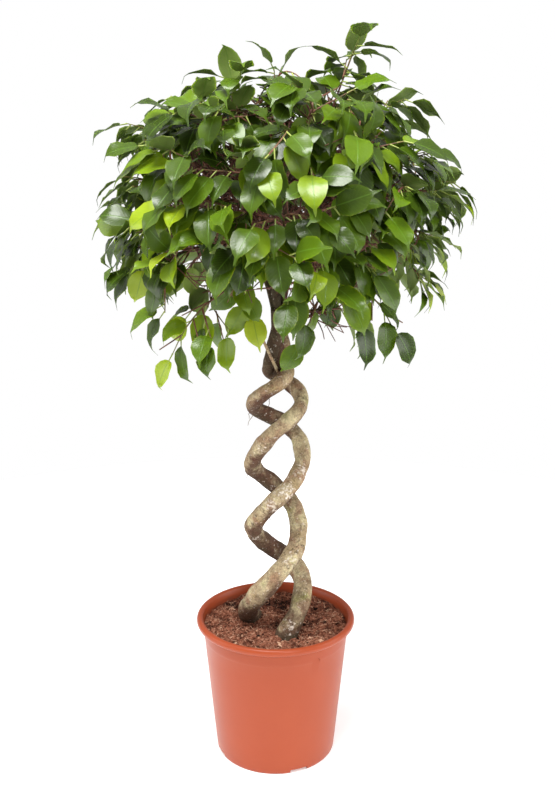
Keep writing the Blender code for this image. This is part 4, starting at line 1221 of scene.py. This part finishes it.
def pot_profile():
    """From the centre pad, over the foot ring, up the outside, over the rolled rim and down the inside."""
    rim_low, step_low = POT_HEIGHT - RIM_DROP, COLLAR_FOOT - STEP_HEIGHT
    turn = np.radians(np.linspace(*RIM_ROLL, RIM_STEPS))
    rim = np.stack([RIM_RADIUS - RIM_HALF_WIDTH + RIM_HALF_WIDTH * np.cos(turn),
                    POT_HEIGHT - 0.5 * RIM_DROP * (1 - np.sin(turn))], 1)
    ring_in = FOOT_RADIUS - FOOT_BEVEL - FOOT_WIDTH
    rows = [
        (0.0, 0.0), (0.5 * PAD_RADIUS, 0.0), (PAD_RADIUS, 0.0), (PAD_RADIUS + FOOT_BEVEL, CHANNEL_HEIGHT),
        (ring_in - FOOT_BEVEL, CHANNEL_HEIGHT), (ring_in, 0.0), (FOOT_RADIUS - FOOT_BEVEL, 0.0),
        (FOOT_RADIUS - EASED_FOOT[0] * FOOT_BEVEL, EASED_FOOT[1] * FOOT_HEIGHT), (FOOT_RADIUS, FOOT_HEIGHT),
    ]
    rows += [(outer_wall(h), h) for h in np.linspace(FOOT_HEIGHT, step_low, WALL_STEPS)[1:]]
    rows += [(COLLAR_FOOT_RADIUS - EASED_IN, COLLAR_FOOT - EASED_DOWN), (COLLAR_FOOT_RADIUS, COLLAR_FOOT)]
    rows += [(outer_wall(h), h) for h in np.linspace(COLLAR_FOOT, rim_low, COLLAR_STEPS)[1:]]
    rows += rim.tolist()
    rows += [(outer_wall(h) - WALL, h) for h in (rim_low, COLLAR_FOOT, step_low, FLOOR_TOP)]
    return rows + [(0.0, FLOOR_TOP)]


def prism(name, start, end):
    """The closed body between two like rings of points; the start is seen anticlockwise from the end."""
    count = len(start)
    shell = Shell()
    shell.add(np.vstack([start, end]), tube_faces(2, count).tolist() + [
        list(range(count))[::-1], list(range(count, 2 * count))], 0)
    made = bpy.data.objects.new(name, shell.mesh(name, []))
    bpy.context.scene.collection.objects.link(made)
    return made


def cutter(name, plan, low, high):
    """The upright prism over a closed plan, from low to high."""
    plan = np.asarray(plan)
    return prism(name, *(np.c_[plan, np.full(len(plan), height)] for height in (low, high)))


def carve(piece, cutters):
    """Takes the cutters out of the piece for good, and removes them."""
    for tool in cutters:
        modifier = piece.modifiers.new(tool.name, "BOOLEAN")
        modifier.operation, modifier.solver, modifier.object = "DIFFERENCE", "EXACT", tool
    graph = bpy.context.evaluated_depsgraph_get()
    carved = bpy.data.meshes.new_from_object(piece.evaluated_get(graph))
    piece.modifiers.clear()
    piece.data = carved
    for tool in cutters:
        bpy.data.objects.remove(tool)


def build_pot(settings):
    """The turned pot, with notches cut from its foot, holes from its floor and a mark under its rim."""
    points, faces = revolved(pot_profile(), POT_SIDES)
    shell = Shell()
    shell.add(points, faces, 0)
    pot = add_piece("pot_shell", shell.mesh("pot_shell", [pot_plastic(settings)]), "pot_plastic", "pot")
    cutters = []
    for n in range(NOTCHES):
        turn = np.radians(FIRST_NOTCH + n * 360 / NOTCHES)
        out, aside = np.array((np.cos(turn), np.sin(turn))), np.array((-np.sin(turn), np.cos(turn)))
        near, far, half = FOOT_RADIUS - NOTCH_INWARDS, FOOT_RADIUS + NOTCH_OUTWARDS, 0.5 * NOTCH_WIDTH
        plan = [out * a + aside * b for a, b in ((near, -half), (far, -half), (far, half), (near, half))]
        cutters.append(cutter(f"notch_{n}", plan, -CUT_PAST, NOTCH_HEIGHT))
    angle = np.arange(HOLE_SIDES) * 2 * np.pi / HOLE_SIDES
    for n in range(DRAINS):
        turn = np.radians(FIRST_DRAIN + n * 360 / DRAINS)
        plan = np.stack([DRAIN_CIRCLE * np.cos(turn) + DRAIN_RADIUS * np.cos(angle),
                         DRAIN_CIRCLE * np.sin(turn) + DRAIN_RADIUS * np.sin(angle)], 1)
        cutters.append(cutter(f"drain_{n}", plan, -CUT_PAST, FLOOR_TOP + CUT_PAST))
    turn = np.radians(MARK_TURN)
    out, up = np.array((np.cos(turn), np.sin(turn), 0)), -DOWN
    aside = np.cross(up, out)
    disc = MARK_RADIUS * (np.cos(angle)[:, None] * aside + np.sin(angle)[:, None] * up) + MARK_HEIGHT * up
    face = outer_wall(MARK_HEIGHT) - MARK_DEPTH
    cutters.append(prism("mark", disc + face * out, disc + (face + CUT_PAST) * out))
    carve(pot, cutters)
    pot.data.set_sharp_from_angle(angle=np.radians(SHARP_ON_POT))


def soil_height(x, y):
    """The soil's gentle swell, as in the solid: sine waves, and a hollow behind the stems."""
    swell = sum(share * np.sin(along * x + aside * y + phase) for share, along, aside, phase in SWELLS)
    hollow = np.exp(-((x - HOLLOW_X) ** 2 + (y - HOLLOW_Y) ** 2) / HOLLOW_RADIUS**2)
    return SOIL_TOP + SOIL_SWELL * swell - HOLLOW_DEPTH * hollow


def crumbled(x, y):
    """The soil's height with its clods, crumbs and grit: value noise of three sizes added to it."""
    flat, height = np.stack([x, y, np.zeros_like(x)], -1), soil_height(x, y)
    for size, lift, seed in CRUMBLE:
        height = height + lift * noise(flat, size, seed)
    return height


def hollow_shade(x, y):
    """How much painted shade darkens the soil: 1 in the hollows beside the left stem and behind the stems.
    """
    hollows = (np.exp(-((x - a) ** 2 + (y - b) ** 2) / radius**2) for a, b, radius in SHADED_HOLLOWS)
    return sum(hollows).clip(0, 1)


def build_soil(settings):
    """A closed body: rings of crumbled ground inside the wall, then straight down to the pot's floor."""
    edge = outer_wall(SOIL_TOP) - WALL - GAP
    sides, rings = SOIL_SIDES, SOIL_RINGS
    radius = edge * np.sqrt(np.linspace(1.0, INNERMOST_RING, rings))
    radius[0] = edge
    angle = np.arange(sides) * 2 * np.pi / sides
    x, y = radius[:, None] * np.cos(angle), radius[:, None] * np.sin(angle)
    top = np.stack([x, y, crumbled(x, y)], -1)
    low = FLOOR_TOP + GAP
    inner = outer_wall(low) - WALL - GAP
    floor = np.stack([inner * np.cos(angle), inner * np.sin(angle), np.full(sides, low)], -1)
    wall = np.concatenate([floor[None], top])
    # Painted light and shade: the tone rises on the clods and falls between them, and the shaded hollows
    # darken it further
    lift = (top[..., 2] - soil_height(x, y)) / TONE_HEIGHT
    tone = np.clip(TONE_BY_HEIGHT * lift, *TONES) - HOLLOW_SHADE_TONE * hollow_shade(x, y)
    tone = np.vstack([np.zeros((1, sides)), tone])
    ends = [list(range(sides))[::-1], list(range(rings * sides, (rings + 1) * sides))]
    shell = Shell()
    shell.add(wall, tube_faces(rings + 1, sides).tolist() + ends, 0, tone=tone)
    rng = np.random.default_rng((SEED, SOIL_DRAWS))
    for kind, size, least, most in LUMPS:
        add_lumps(shell, getattr(settings, kind), rng, edge, size, least, most)
    add_fibres(shell, settings.fibres, rng, edge)
    add_piece("peat_soil", shell.mesh("peat_soil", [peat(settings)], SHARP_ON_SOIL), "peat", "soil")


def scattered(count, rng, edge):
    """Random places on the soil, as points."""
    radius, turn = edge * np.sqrt(rng.uniform(0, LOOSE_AREA, count)), rng.uniform(0, 2 * np.pi, count)
    x, y = radius * np.cos(turn), radius * np.sin(turn)
    return np.stack([x, y, crumbled(x, y)], 1)


def add_lumps(shell, count, rng, edge, size, least, most):
    """Crumbs or flakes: an octahedron each, stretched three ways, turned at random and half sunk. Most are
    small, and a few are as long as a fingernail."""
    corners = np.array(((1, 0, 0), (-1, 0, 0), (0, 1, 0), (0, -1, 0), (0, 0, 1), (0, 0, -1)), float)
    faces = [(0, 2, 4), (2, 1, 4), (1, 3, 4), (3, 0, 4), (2, 0, 5), (1, 2, 5), (3, 1, 5), (0, 3, 5)]
    places = scattered(count, rng, edge)
    sizes = size * rng.pareto(LUMP_RARITY, (count, 1)).clip(0, LUMP_MOST) + LUMP_LEAST
    sizes = sizes * rng.uniform(least, most, (count, 3))
    bases = np.linalg.qr(rng.normal(size=(count, 3, 3)) * (1, 1, LUMP_LEVEL))[0]
    bases *= np.sign(np.linalg.det(bases))[:, None, None]
    points = (corners * sizes[:, None]) * rng.uniform(*LUMP_UNEVEN, (count, len(corners), 1))
    points = np.einsum("nij,nkj->nki", bases, points) + places[:, None]
    # Each lump's own random tone, darkened by painted shade in the shaded hollows
    tones = rng.normal(*LUMP_TONES, count) - LUMP_SHADE_TONE * hollow_shade(places[:, 0], places[:, 1])
    for lump, tone in zip(points, tones):
        shell.add(lump, faces, 0, tone=tone)


def add_fibres(shell, count, rng, edge):
    """Coir fibres: thin tubes, bent like a parabola, that lie on the soil and are slightly tilted."""
    starts = scattered(count, rng, FIBRE_REACH * edge)
    turn, length = rng.uniform(0, 2 * np.pi, count), rng.uniform(*FIBRE_LENGTHS, count)[:, None]
    t = np.linspace(-0.5, 0.5, FIBRE_ROWS)
    along = np.stack([np.cos(turn), np.sin(turn)], 1)
    aside = np.stack([-np.sin(turn), np.cos(turn)], 1)
    flat = starts[:, None, :2] + (length * t)[..., None] * along[:, None]
    bend = rng.uniform(-FIBRE_BEND, FIBRE_BEND, count)[:, None]
    flat = flat + (bend * length * (2 * t) ** 2)[..., None] * aside[:, None]
    height = crumbled(flat[..., 0], flat[..., 1]).max(1, keepdims=True)
    height = height + rng.uniform(*FIBRE_LIFTS, (count, 1))
    height = height + rng.uniform(-FIBRE_TILT, FIBRE_TILT, (count, 1)) * length * t
    paths = np.concatenate([flat, height[..., None]], 2)
    radii = np.broadcast_to(rng.uniform(*FIBRE_RADII, (count, 1)), (count, FIBRE_ROWS))
    shell.add_tubes(paths, radii, HAIR_SIDES, 0, tone=FIBRE_TONE)


def row_at(turn, rows):
    """Which row of a stem's fine path is at a turn of its twist."""
    return int(BURIED_ROWS * FINE + (turn - rows[0][0]) / TURN_STEP * FINE)


def add_air_roots(shell, name, rows, fine):
    """Hair-thin roots that start at the stem's skin, hang down and waver."""
    rng = np.random.default_rng((SEED, AIR_ROOT_DRAWS))
    for owner, turn, way, length in AIR_ROOTS:
        if owner != name:
            continue
        way, row = unit(np.array(way)), fine[row_at(turn, rows)]
        start = row[:3] + AIR_ROOT_START * row[3] * way
        end = start + length * unit(way + AIR_ROOT_DROP * DOWN + rng.normal(0, AIR_ROOT_SPREAD, 3))
        path = bezier(start, start + AIR_ROOT_PULL * length * way, end, AIR_ROOT_ROWS)
        path[1:] += rng.normal(0, AIR_ROOT_WAVER, (AIR_ROOT_ROWS - 1, 3))
        shell.add_wood(path, AIR_ROOT_RADII, 1, HAIR_SIDES, BARK, under=AIR_ROOT_SHADE)


def add_callus(shell):
    """The wood between the stems' tops, where they have grown together: a cone that widens upwards. Then
    the shoot in front of it and the one that hangs from the low limb."""
    path = np.zeros((CALLUS_ROWS, 3)) + (TWIST_AXIS_X, 0.0, 0.0)
    path[:, 2] = np.linspace(*CALLUS, CALLUS_ROWS)
    # The callus is darkened with painted shade
    shell.add_wood(path, CALLUS_RADII, 1, CALLUS_SIDES, BARK, under=CALLUS_SHADE)
    shell.add_wood(FRONT_SHOOT, FRONT_SHOOT_RADII, LIMB_STEPS, FRONT_SHOOT_SIDES, BARK)
    shell.add_wood(HANGING_SHOOT, HANGING_SHOOT_RADII, LIMB_STEPS, HANGING_SHOOT_SIDES, THIN_BARK)


def bark_shade(points, centre):
    """How much painted shade the bark gets. Undersides count by how far they face down, and each other
    shaded
    place fades evenly over its own length: behind the crossings, where the stems have grown together and at
    the soil. The bark is also darker low down."""
    under = np.maximum(0, -units(points - centre)[..., 2])
    aside, height = (points[..., 0] - TWIST_AXIS_X) / BACK_WIDTH, points[..., 2]
    behind = np.clip(points[..., 1] / BACK_REACH, 0, 1) * np.clip(BACK_FADE - aside, 0, 1)
    joined = np.clip((height - CALLUS[0]) / JOINED_OVER, 0, 1)
    joined = joined * np.clip(JOINED_MOST - JOINED_FADE * aside, JOINED_LEAST, 1)
    shade_at_soil = np.clip((SOIL_TOP + SOIL_SHADE_HEIGHT - height) / SOIL_SHADE_HEIGHT, 0, 1)
    low = np.clip((LOW_BARK - height) / LOW_BARK_OVER, 0, 1)
    return under + BACK_SHADE * behind + JOINED_SHADE * joined + SOIL_SHADE * shade_at_soil + LOW_SHADE * low


def build_stems(settings, stems):
    """Each stem with its limbs and branchlets. Its radius swells and sinks with three sizes of noise."""
    bark, thin = fig_bark(settings), twig_bark(settings)
    rows_of = {"stem_left": LEFT_STEM, "stem_right": RIGHT_STEM}
    for name, (path, radii, limbs, branchlets) in stems.items():
        shell = Shell()
        fine = finer(np.c_[path, radii], FINE)
        points = shell.add_tubes(fine[None, :, :3], fine[None, :, 3], STEM_FINE_SIDES, BARK)[0]
        centre = fine[:, None, :3]
        knobs = sum(noise(points, size, seed) * share for size, share, seed in KNOBS)[..., None]
        shell.points[0] = (centre + (points - centre) * (1 + settings.relief * knobs)).reshape(-1, 3)
        scar = np.zeros(points.shape[:2])
        for owner, turn, size in SCARS:
            if owner == name:
                row = fine[row_at(turn, rows_of[name])]
                away = points - row[:3] - row[3] * unit(SCAR_SIDE)
                scar = np.maximum(scar, np.exp(-(away**2).sum(-1) / size**2))
        # The under value is the bark's painted shade
        shell.values.update(under=[bark_shade(points, centre).ravel()], scar=[scar.ravel()])
        add_air_roots(shell, name, rows_of[name], fine)
        if name == "stem_left":
            add_callus(shell)
        for limb, ends in limbs:
            # The limbs inside the crown get painted shade
            shell.add_wood(limb, ends, LIMB_STEPS, LIMB_FINE_SIDES, BARK, under=LIMB_SHADE)
        for curve in branchlets.values():
            shell.add_wood(curve, BRANCHLET_RADII, LIMB_STEPS, BRANCHLET_FINE_SIDES, THIN_BARK)
        add_piece(name + "_bark", shell.mesh(name + "_bark", [bark, thin]), "bark", name)


def leaf_ages(leaves, rng):
    """Each leaf's age from 0 to 1, older the higher it grows, partly as painted shade that darkens the top
    of the crown. Those that were given one keep it.
    """
    count = len(leaves)
    high = np.array([leaf.root[2] - CROWN_CENTRE[2] for leaf in leaves]) / CROWN_RISE
    share = YOUNG_SHARE * np.clip(FEWER_YOUNG - FEWER_YOUNG * high, LEAST_YOUNG, 1.0)
    young = rng.uniform(0, 1, count) < share
    ages = np.where(young, rng.uniform(*YOUNG_AGES, count), rng.beta(*OLDER_AGES, count) * OLDER_UP_TO)
    ages = np.minimum(ages, 1.0 - OLDER_ON_TOP * np.clip(2 * high, 0, 1))
    # Painted shade: the higher a leaf grows, the deeper its green
    ages = ages * (1 - TOP_LEAF_SHADE * np.clip(high, 0, 1))
    return [age if leaf.age is None else leaf.age for leaf, age in zip(leaves, ages)]


def build_foliage(settings, sprays):
    """One piece for each spray: its twigs, and its leaves with their petioles."""
    finishes = [
        leaf_face(settings, "fig leaf upper face", False), leaf_face(settings, "fig leaf underside", True),
        leaf_stalk(), bpy.data.materials["young fig bark"],
    ]
    across = np.tile(RING_ACROSS, LEAF_RINGS)
    for n, (name, spray) in enumerate(sprays.items()):
        rng = np.random.default_rng((SEED, n, AGE_DRAWS))
        shell = Shell()
        for path, ends in spray["twigs"]:
            steps = TWIG_STEPS if len(path) > 2 else SIDE_TWIG_STEPS
            shell.add_wood(path, np.multiply(TWIG_SLIMMING, ends), steps, TWIG_FINE_SIDES, TWIG, fresh=1.0)
        for path in spray["extra"]:
            shell.add_wood(path, EXTRA_TWIG_RADII, 1, SHOOT_SIDES, TWIG, fresh=1.0)
        for path in spray["shoots"]:
            shell.add_wood(path, SHOOT_RADII, SHOOT_STEPS, SHOOT_SIDES, TWIG, fresh=1.0)
        points, along = fine_leaves(spray["leaves"], rng)
        for rings, age in zip(points, leaf_ages(spray["leaves"], rng)):
            shell.add(rings, LEAF_FACES, LEAF_SLOTS, along=along, across=across, age=age)
        add_piece(name.replace("spray", "foliage"), shell.mesh(name, finishes, SHARP_ON_LEAF), "leaf", name)


def build_bare_twigs(stems, sprays):
    """All the thin inner twigs as one piece of tapering tubes."""
    shell = Shell()
    paths = np.array(bare_twigs(stems, sprays))
    radii = np.broadcast_to(np.linspace(*BARE_RADII, BARE_ROWS), paths.shape[:2])
    shell.add_tubes(paths, radii, SHOOT_SIDES, 0)
    add_piece("bare_twigs", shell.mesh("bare_twigs", [bpy.data.materials["young fig bark"]]), "bark")


def add_light(name, place, looks_at, width, power):
    """A round softbox that looks at a height on the plant's axis."""
    lamp = bpy.data.lights.new(name, "AREA")
    lamp.shape, lamp.size, lamp.energy = "DISK", width, power
    light = bpy.data.objects.new(name, lamp)
    bpy.context.scene.collection.objects.link(light)
    light.location = place
    light.rotation_mode = "QUATERNION"
    light.rotation_quaternion = (Vector((0, 0, looks_at)) - Vector(place)).to_track_quat("-Z", "Y")


def light_studio(settings):
    """A white studio all round: pure white to the camera, dimmer in glossy skins and as light."""
    world = bpy.data.worlds.new("white studio")
    world.use_nodes = True
    tree = world.node_tree
    tree.nodes.remove(tree.nodes["Background"])
    lit, mirrored, seen = (
        node(tree, "Background", {"Color": WHITE, "Strength": strength})
        for strength in (settings.surround, settings.mirrored, 1.0)
    )
    shone = node(tree, "MixShader", (node(tree, "LightPath", output="Is Glossy Ray"), lit, mirrored))
    shown = node(tree, "MixShader", (node(tree, "LightPath", output="Is Camera Ray"), shone, seen))
    fill_in(tree, tree.nodes["World Output"], {"Surface": shown})
    bpy.context.scene.world = world
    for name, place, looks_at, width, power, share in SOFTBOXES:
        add_light(name, place, looks_at, width, share * getattr(settings, power))


def build_stage(settings):
    """A plain pale floor, the lit studio, and the photograph's camera."""
    angle = np.arange(FLOOR_SIDES) * 2 * np.pi / FLOOR_SIDES
    flat = [FLOOR_RADII[:, None] * np.cos(angle), FLOOR_RADII[:, None] * np.sin(angle)]
    count = len(FLOOR_RADII)
    rings = np.stack([*flat, np.full((count, FLOOR_SIDES), -FLOOR_DROP)], -1)
    middle = list(range((count - 1) * FLOOR_SIDES, count * FLOOR_SIDES))
    shell = Shell()
    shell.add(rings, tube_faces(count, FLOOR_SIDES).tolist() + [middle], 0)
    paint, _, _ = material("matt white floor", {
        "Base Color": settings.floor, "Roughness": 0.9,
        "Emission Color": settings.floor, "Emission Strength": settings.lit_floor})
    floor = bpy.data.objects.new("floor", shell.mesh("floor", [paint]))
    bpy.context.scene.collection.objects.link(floor)
    light_studio(settings)
    lens = bpy.data.cameras.new("camera")
    lens.sensor_fit, lens.sensor_width, lens.lens = "AUTO", SENSOR, LENS
    camera = bpy.data.objects.new("camera", lens)
    bpy.context.scene.collection.objects.link(camera)
    camera.location = CAMERA_PLACE
    camera.rotation_euler = (np.radians(CAMERA_TILT), 0.0, 0.0)
    bpy.context.scene.camera = camera
    bpy.context.scene.view_settings.view_transform = "Standard"


# The add-on


def colour_setting(name, description, code):
    """A colour that a user can change, with its sRGB hex default."""
    return FloatVectorProperty(
        name=name, description=description, subtype="COLOR", size=4, min=0, max=1, default=linear(code))


def number_setting(name, description, default):
    """A number of things that a user can change."""
    return IntProperty(name=name, description=description, default=default, min=0)


def amount_setting(name, description, default, **others):
    """A size, strength or power that a user can change."""
    return FloatProperty(name=name, description=description, default=default, min=0, **others)


class FigPotSettings(bpy.types.PropertyGroup):
    """The pot's plastic"""
    colour: colour_setting("Colour", "The plastic's colour", "#984020")
    light: colour_setting("Light colour", "Where the plastic is paler", "#9F4625")
    roughness: amount_setting("Roughness", "How satin the skin is", 0.36, max=1, subtype="FACTOR")


class FigSoilSettings(bpy.types.PropertyGroup):
    """The peat and what lies on it"""
    colour: colour_setting("Colour", "The moist peat's colour", "#683D2D")
    crumbs: number_setting("Crumbs", "How many loose crumbs lie on top", 3400)
    flakes: number_setting("Flakes", "How many thin bark flakes lie on top", 420)
    fibres: number_setting("Fibres", "How many coir fibres lie on top", 240)


class FigWoodSettings(bpy.types.PropertyGroup):
    """The stems and twigs"""
    bark: colour_setting("Bark", "The stems' main colour", "#A59172")
    patch: colour_setting("Patches", "The pink-brown patches on the stems", "#8A6450")
    twig: colour_setting("Twigs", "The crown's twigs", "#6A3E2E")
    relief: amount_setting("Relief", "How strongly the stems' surface swells", 1.0)


class FigLeafSettings(bpy.types.PropertyGroup):
    """The leaves' colours and shine"""
    deep: colour_setting("Deep", "The darkest, oldest leaves", "#28370C")
    mature: colour_setting("Mature", "Most leaves", "#4B640E")
    fresh: colour_setting("Fresh", "Newer leaves", "#778E13")
    young: colour_setting("Young", "The youngest leaves", "#A2B124")
    rib: colour_setting("Midrib", "The midrib and the side veins", "#577A26")
    gloss: amount_setting("Roughness", "How dull the waxy upper face is", 0.27, max=1, subtype="FACTOR")


class FigStageSettings(bpy.types.PropertyGroup):
    """The floor and the light"""
    floor: colour_setting("Floor", "The floor's colour", "#FFFFFF")
    lit_floor: amount_setting("Lit floor", "How much the floor is lit from below", 0.22)
    surround: amount_setting("Surround", "The white studio's brightness", 0.54)
    mirrored: amount_setting("Mirrored", "The studio's brightness in glossy skins", 0.50)
    key: amount_setting("Key light", "Power of the main light", 76.0, unit="POWER")
    fill: amount_setting("Fill light", "Power of the second light", 26.0, unit="POWER")
    side: amount_setting("Side lights", "Power of the left one; the right is stronger", 14.0, unit="POWER")


LAYOUT = {}


def laid_out():
    """The wood and the leaves, worked out once for all the operators."""
    if not LAYOUT:
        plan, hubs = plan_crown()
        stems, thicket, headings = lay_wood(plan, hubs)
        sprays = lay_sprays(plan, thicket, headings)
        thicken(sprays, stems, thicket)
        LAYOUT.update(stems=stems, sprays=sprays)
    return LAYOUT


class FIG_OT_pot(bpy.types.Operator):
    """Make the turned pot with its rolled rim, stacking step, notches and drain holes"""
    bl_idname = "fig.pot"
    bl_label = "Pot"

    def execute(self, context):
        build_pot(context.scene.fig_pot)
        return {"FINISHED"}


class FIG_OT_soil(bpy.types.Operator):
    """Make the crumbly peat with its chips and fibres"""
    bl_idname = "fig.soil"
    bl_label = "Soil"

    def execute(self, context):
        build_soil(context.scene.fig_soil)
        return {"FINISHED"}


class FIG_OT_wood(bpy.types.Operator):
    """Make the two wound stems, their limbs and branchlets, and the bare inner twigs"""
    bl_idname = "fig.wood"
    bl_label = "Wood"

    def execute(self, context):
        build_stems(context.scene.fig_wood, laid_out()["stems"])
        build_bare_twigs(laid_out()["stems"], laid_out()["sprays"])
        return {"FINISHED"}


class FIG_OT_foliage(bpy.types.Operator):
    """Make each spray's twigs and leaves"""
    bl_idname = "fig.foliage"
    bl_label = "Foliage"

    def execute(self, context):
        build_foliage(context.scene.fig_leaf, laid_out()["sprays"])
        return {"FINISHED"}


class FIG_OT_stage(bpy.types.Operator):
    """Make the floor, the lights and the camera"""
    bl_idname = "fig.stage"
    bl_label = "Stage"

    def execute(self, context):
        build_stage(context.scene.fig_stage)
        return {"FINISHED"}


class FIG_PT_looks(bpy.types.Panel):
    """Lists the settings and the button of each piece and of the stage"""
    bl_idname = "FIG_PT_looks"
    bl_label = "Weeping fig"
    bl_space_type = "VIEW_3D"
    bl_region_type = "UI"
    bl_category = "Fig"

    def draw(self, context):
        for group, operator in GROUPS:
            box = self.layout.box()
            settings = getattr(context.scene, group)
            for name in settings.__annotations__:
                box.prop(settings, name)
            box.operator(operator.bl_idname)


GROUPS = (
    ("fig_pot", FIG_OT_pot), ("fig_soil", FIG_OT_soil), ("fig_wood", FIG_OT_wood),
    ("fig_leaf", FIG_OT_foliage), ("fig_stage", FIG_OT_stage),
)
SETTINGS = {
    "fig_pot": FigPotSettings, "fig_soil": FigSoilSettings, "fig_wood": FigWoodSettings,
    "fig_leaf": FigLeafSettings, "fig_stage": FigStageSettings,
}


def register():
    """Adds the settings, the buttons and the panel to Blender."""
    for settings in SETTINGS.values():
        bpy.utils.register_class(settings)
    for _, operator in GROUPS:
        bpy.utils.register_class(operator)
    bpy.utils.register_class(FIG_PT_looks)
    for name, settings in SETTINGS.items():
        setattr(bpy.types.Scene, name, PointerProperty(type=settings))


def unregister():
    """Takes them out again."""
    for name in SETTINGS:
        delattr(bpy.types.Scene, name)
    bpy.utils.unregister_class(FIG_PT_looks)
    for _, operator in GROUPS:
        bpy.utils.unregister_class(operator)
    for settings in SETTINGS.values():
        bpy.utils.unregister_class(settings)


def main():
    """Makes every piece and the stage."""
    register()
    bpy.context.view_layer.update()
    bpy.ops.fig.stage()
    bpy.ops.fig.pot()
    bpy.ops.fig.soil()
    bpy.ops.fig.wood()
    bpy.ops.fig.foliage()
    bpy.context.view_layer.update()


if __name__ == "__main__":
    main()
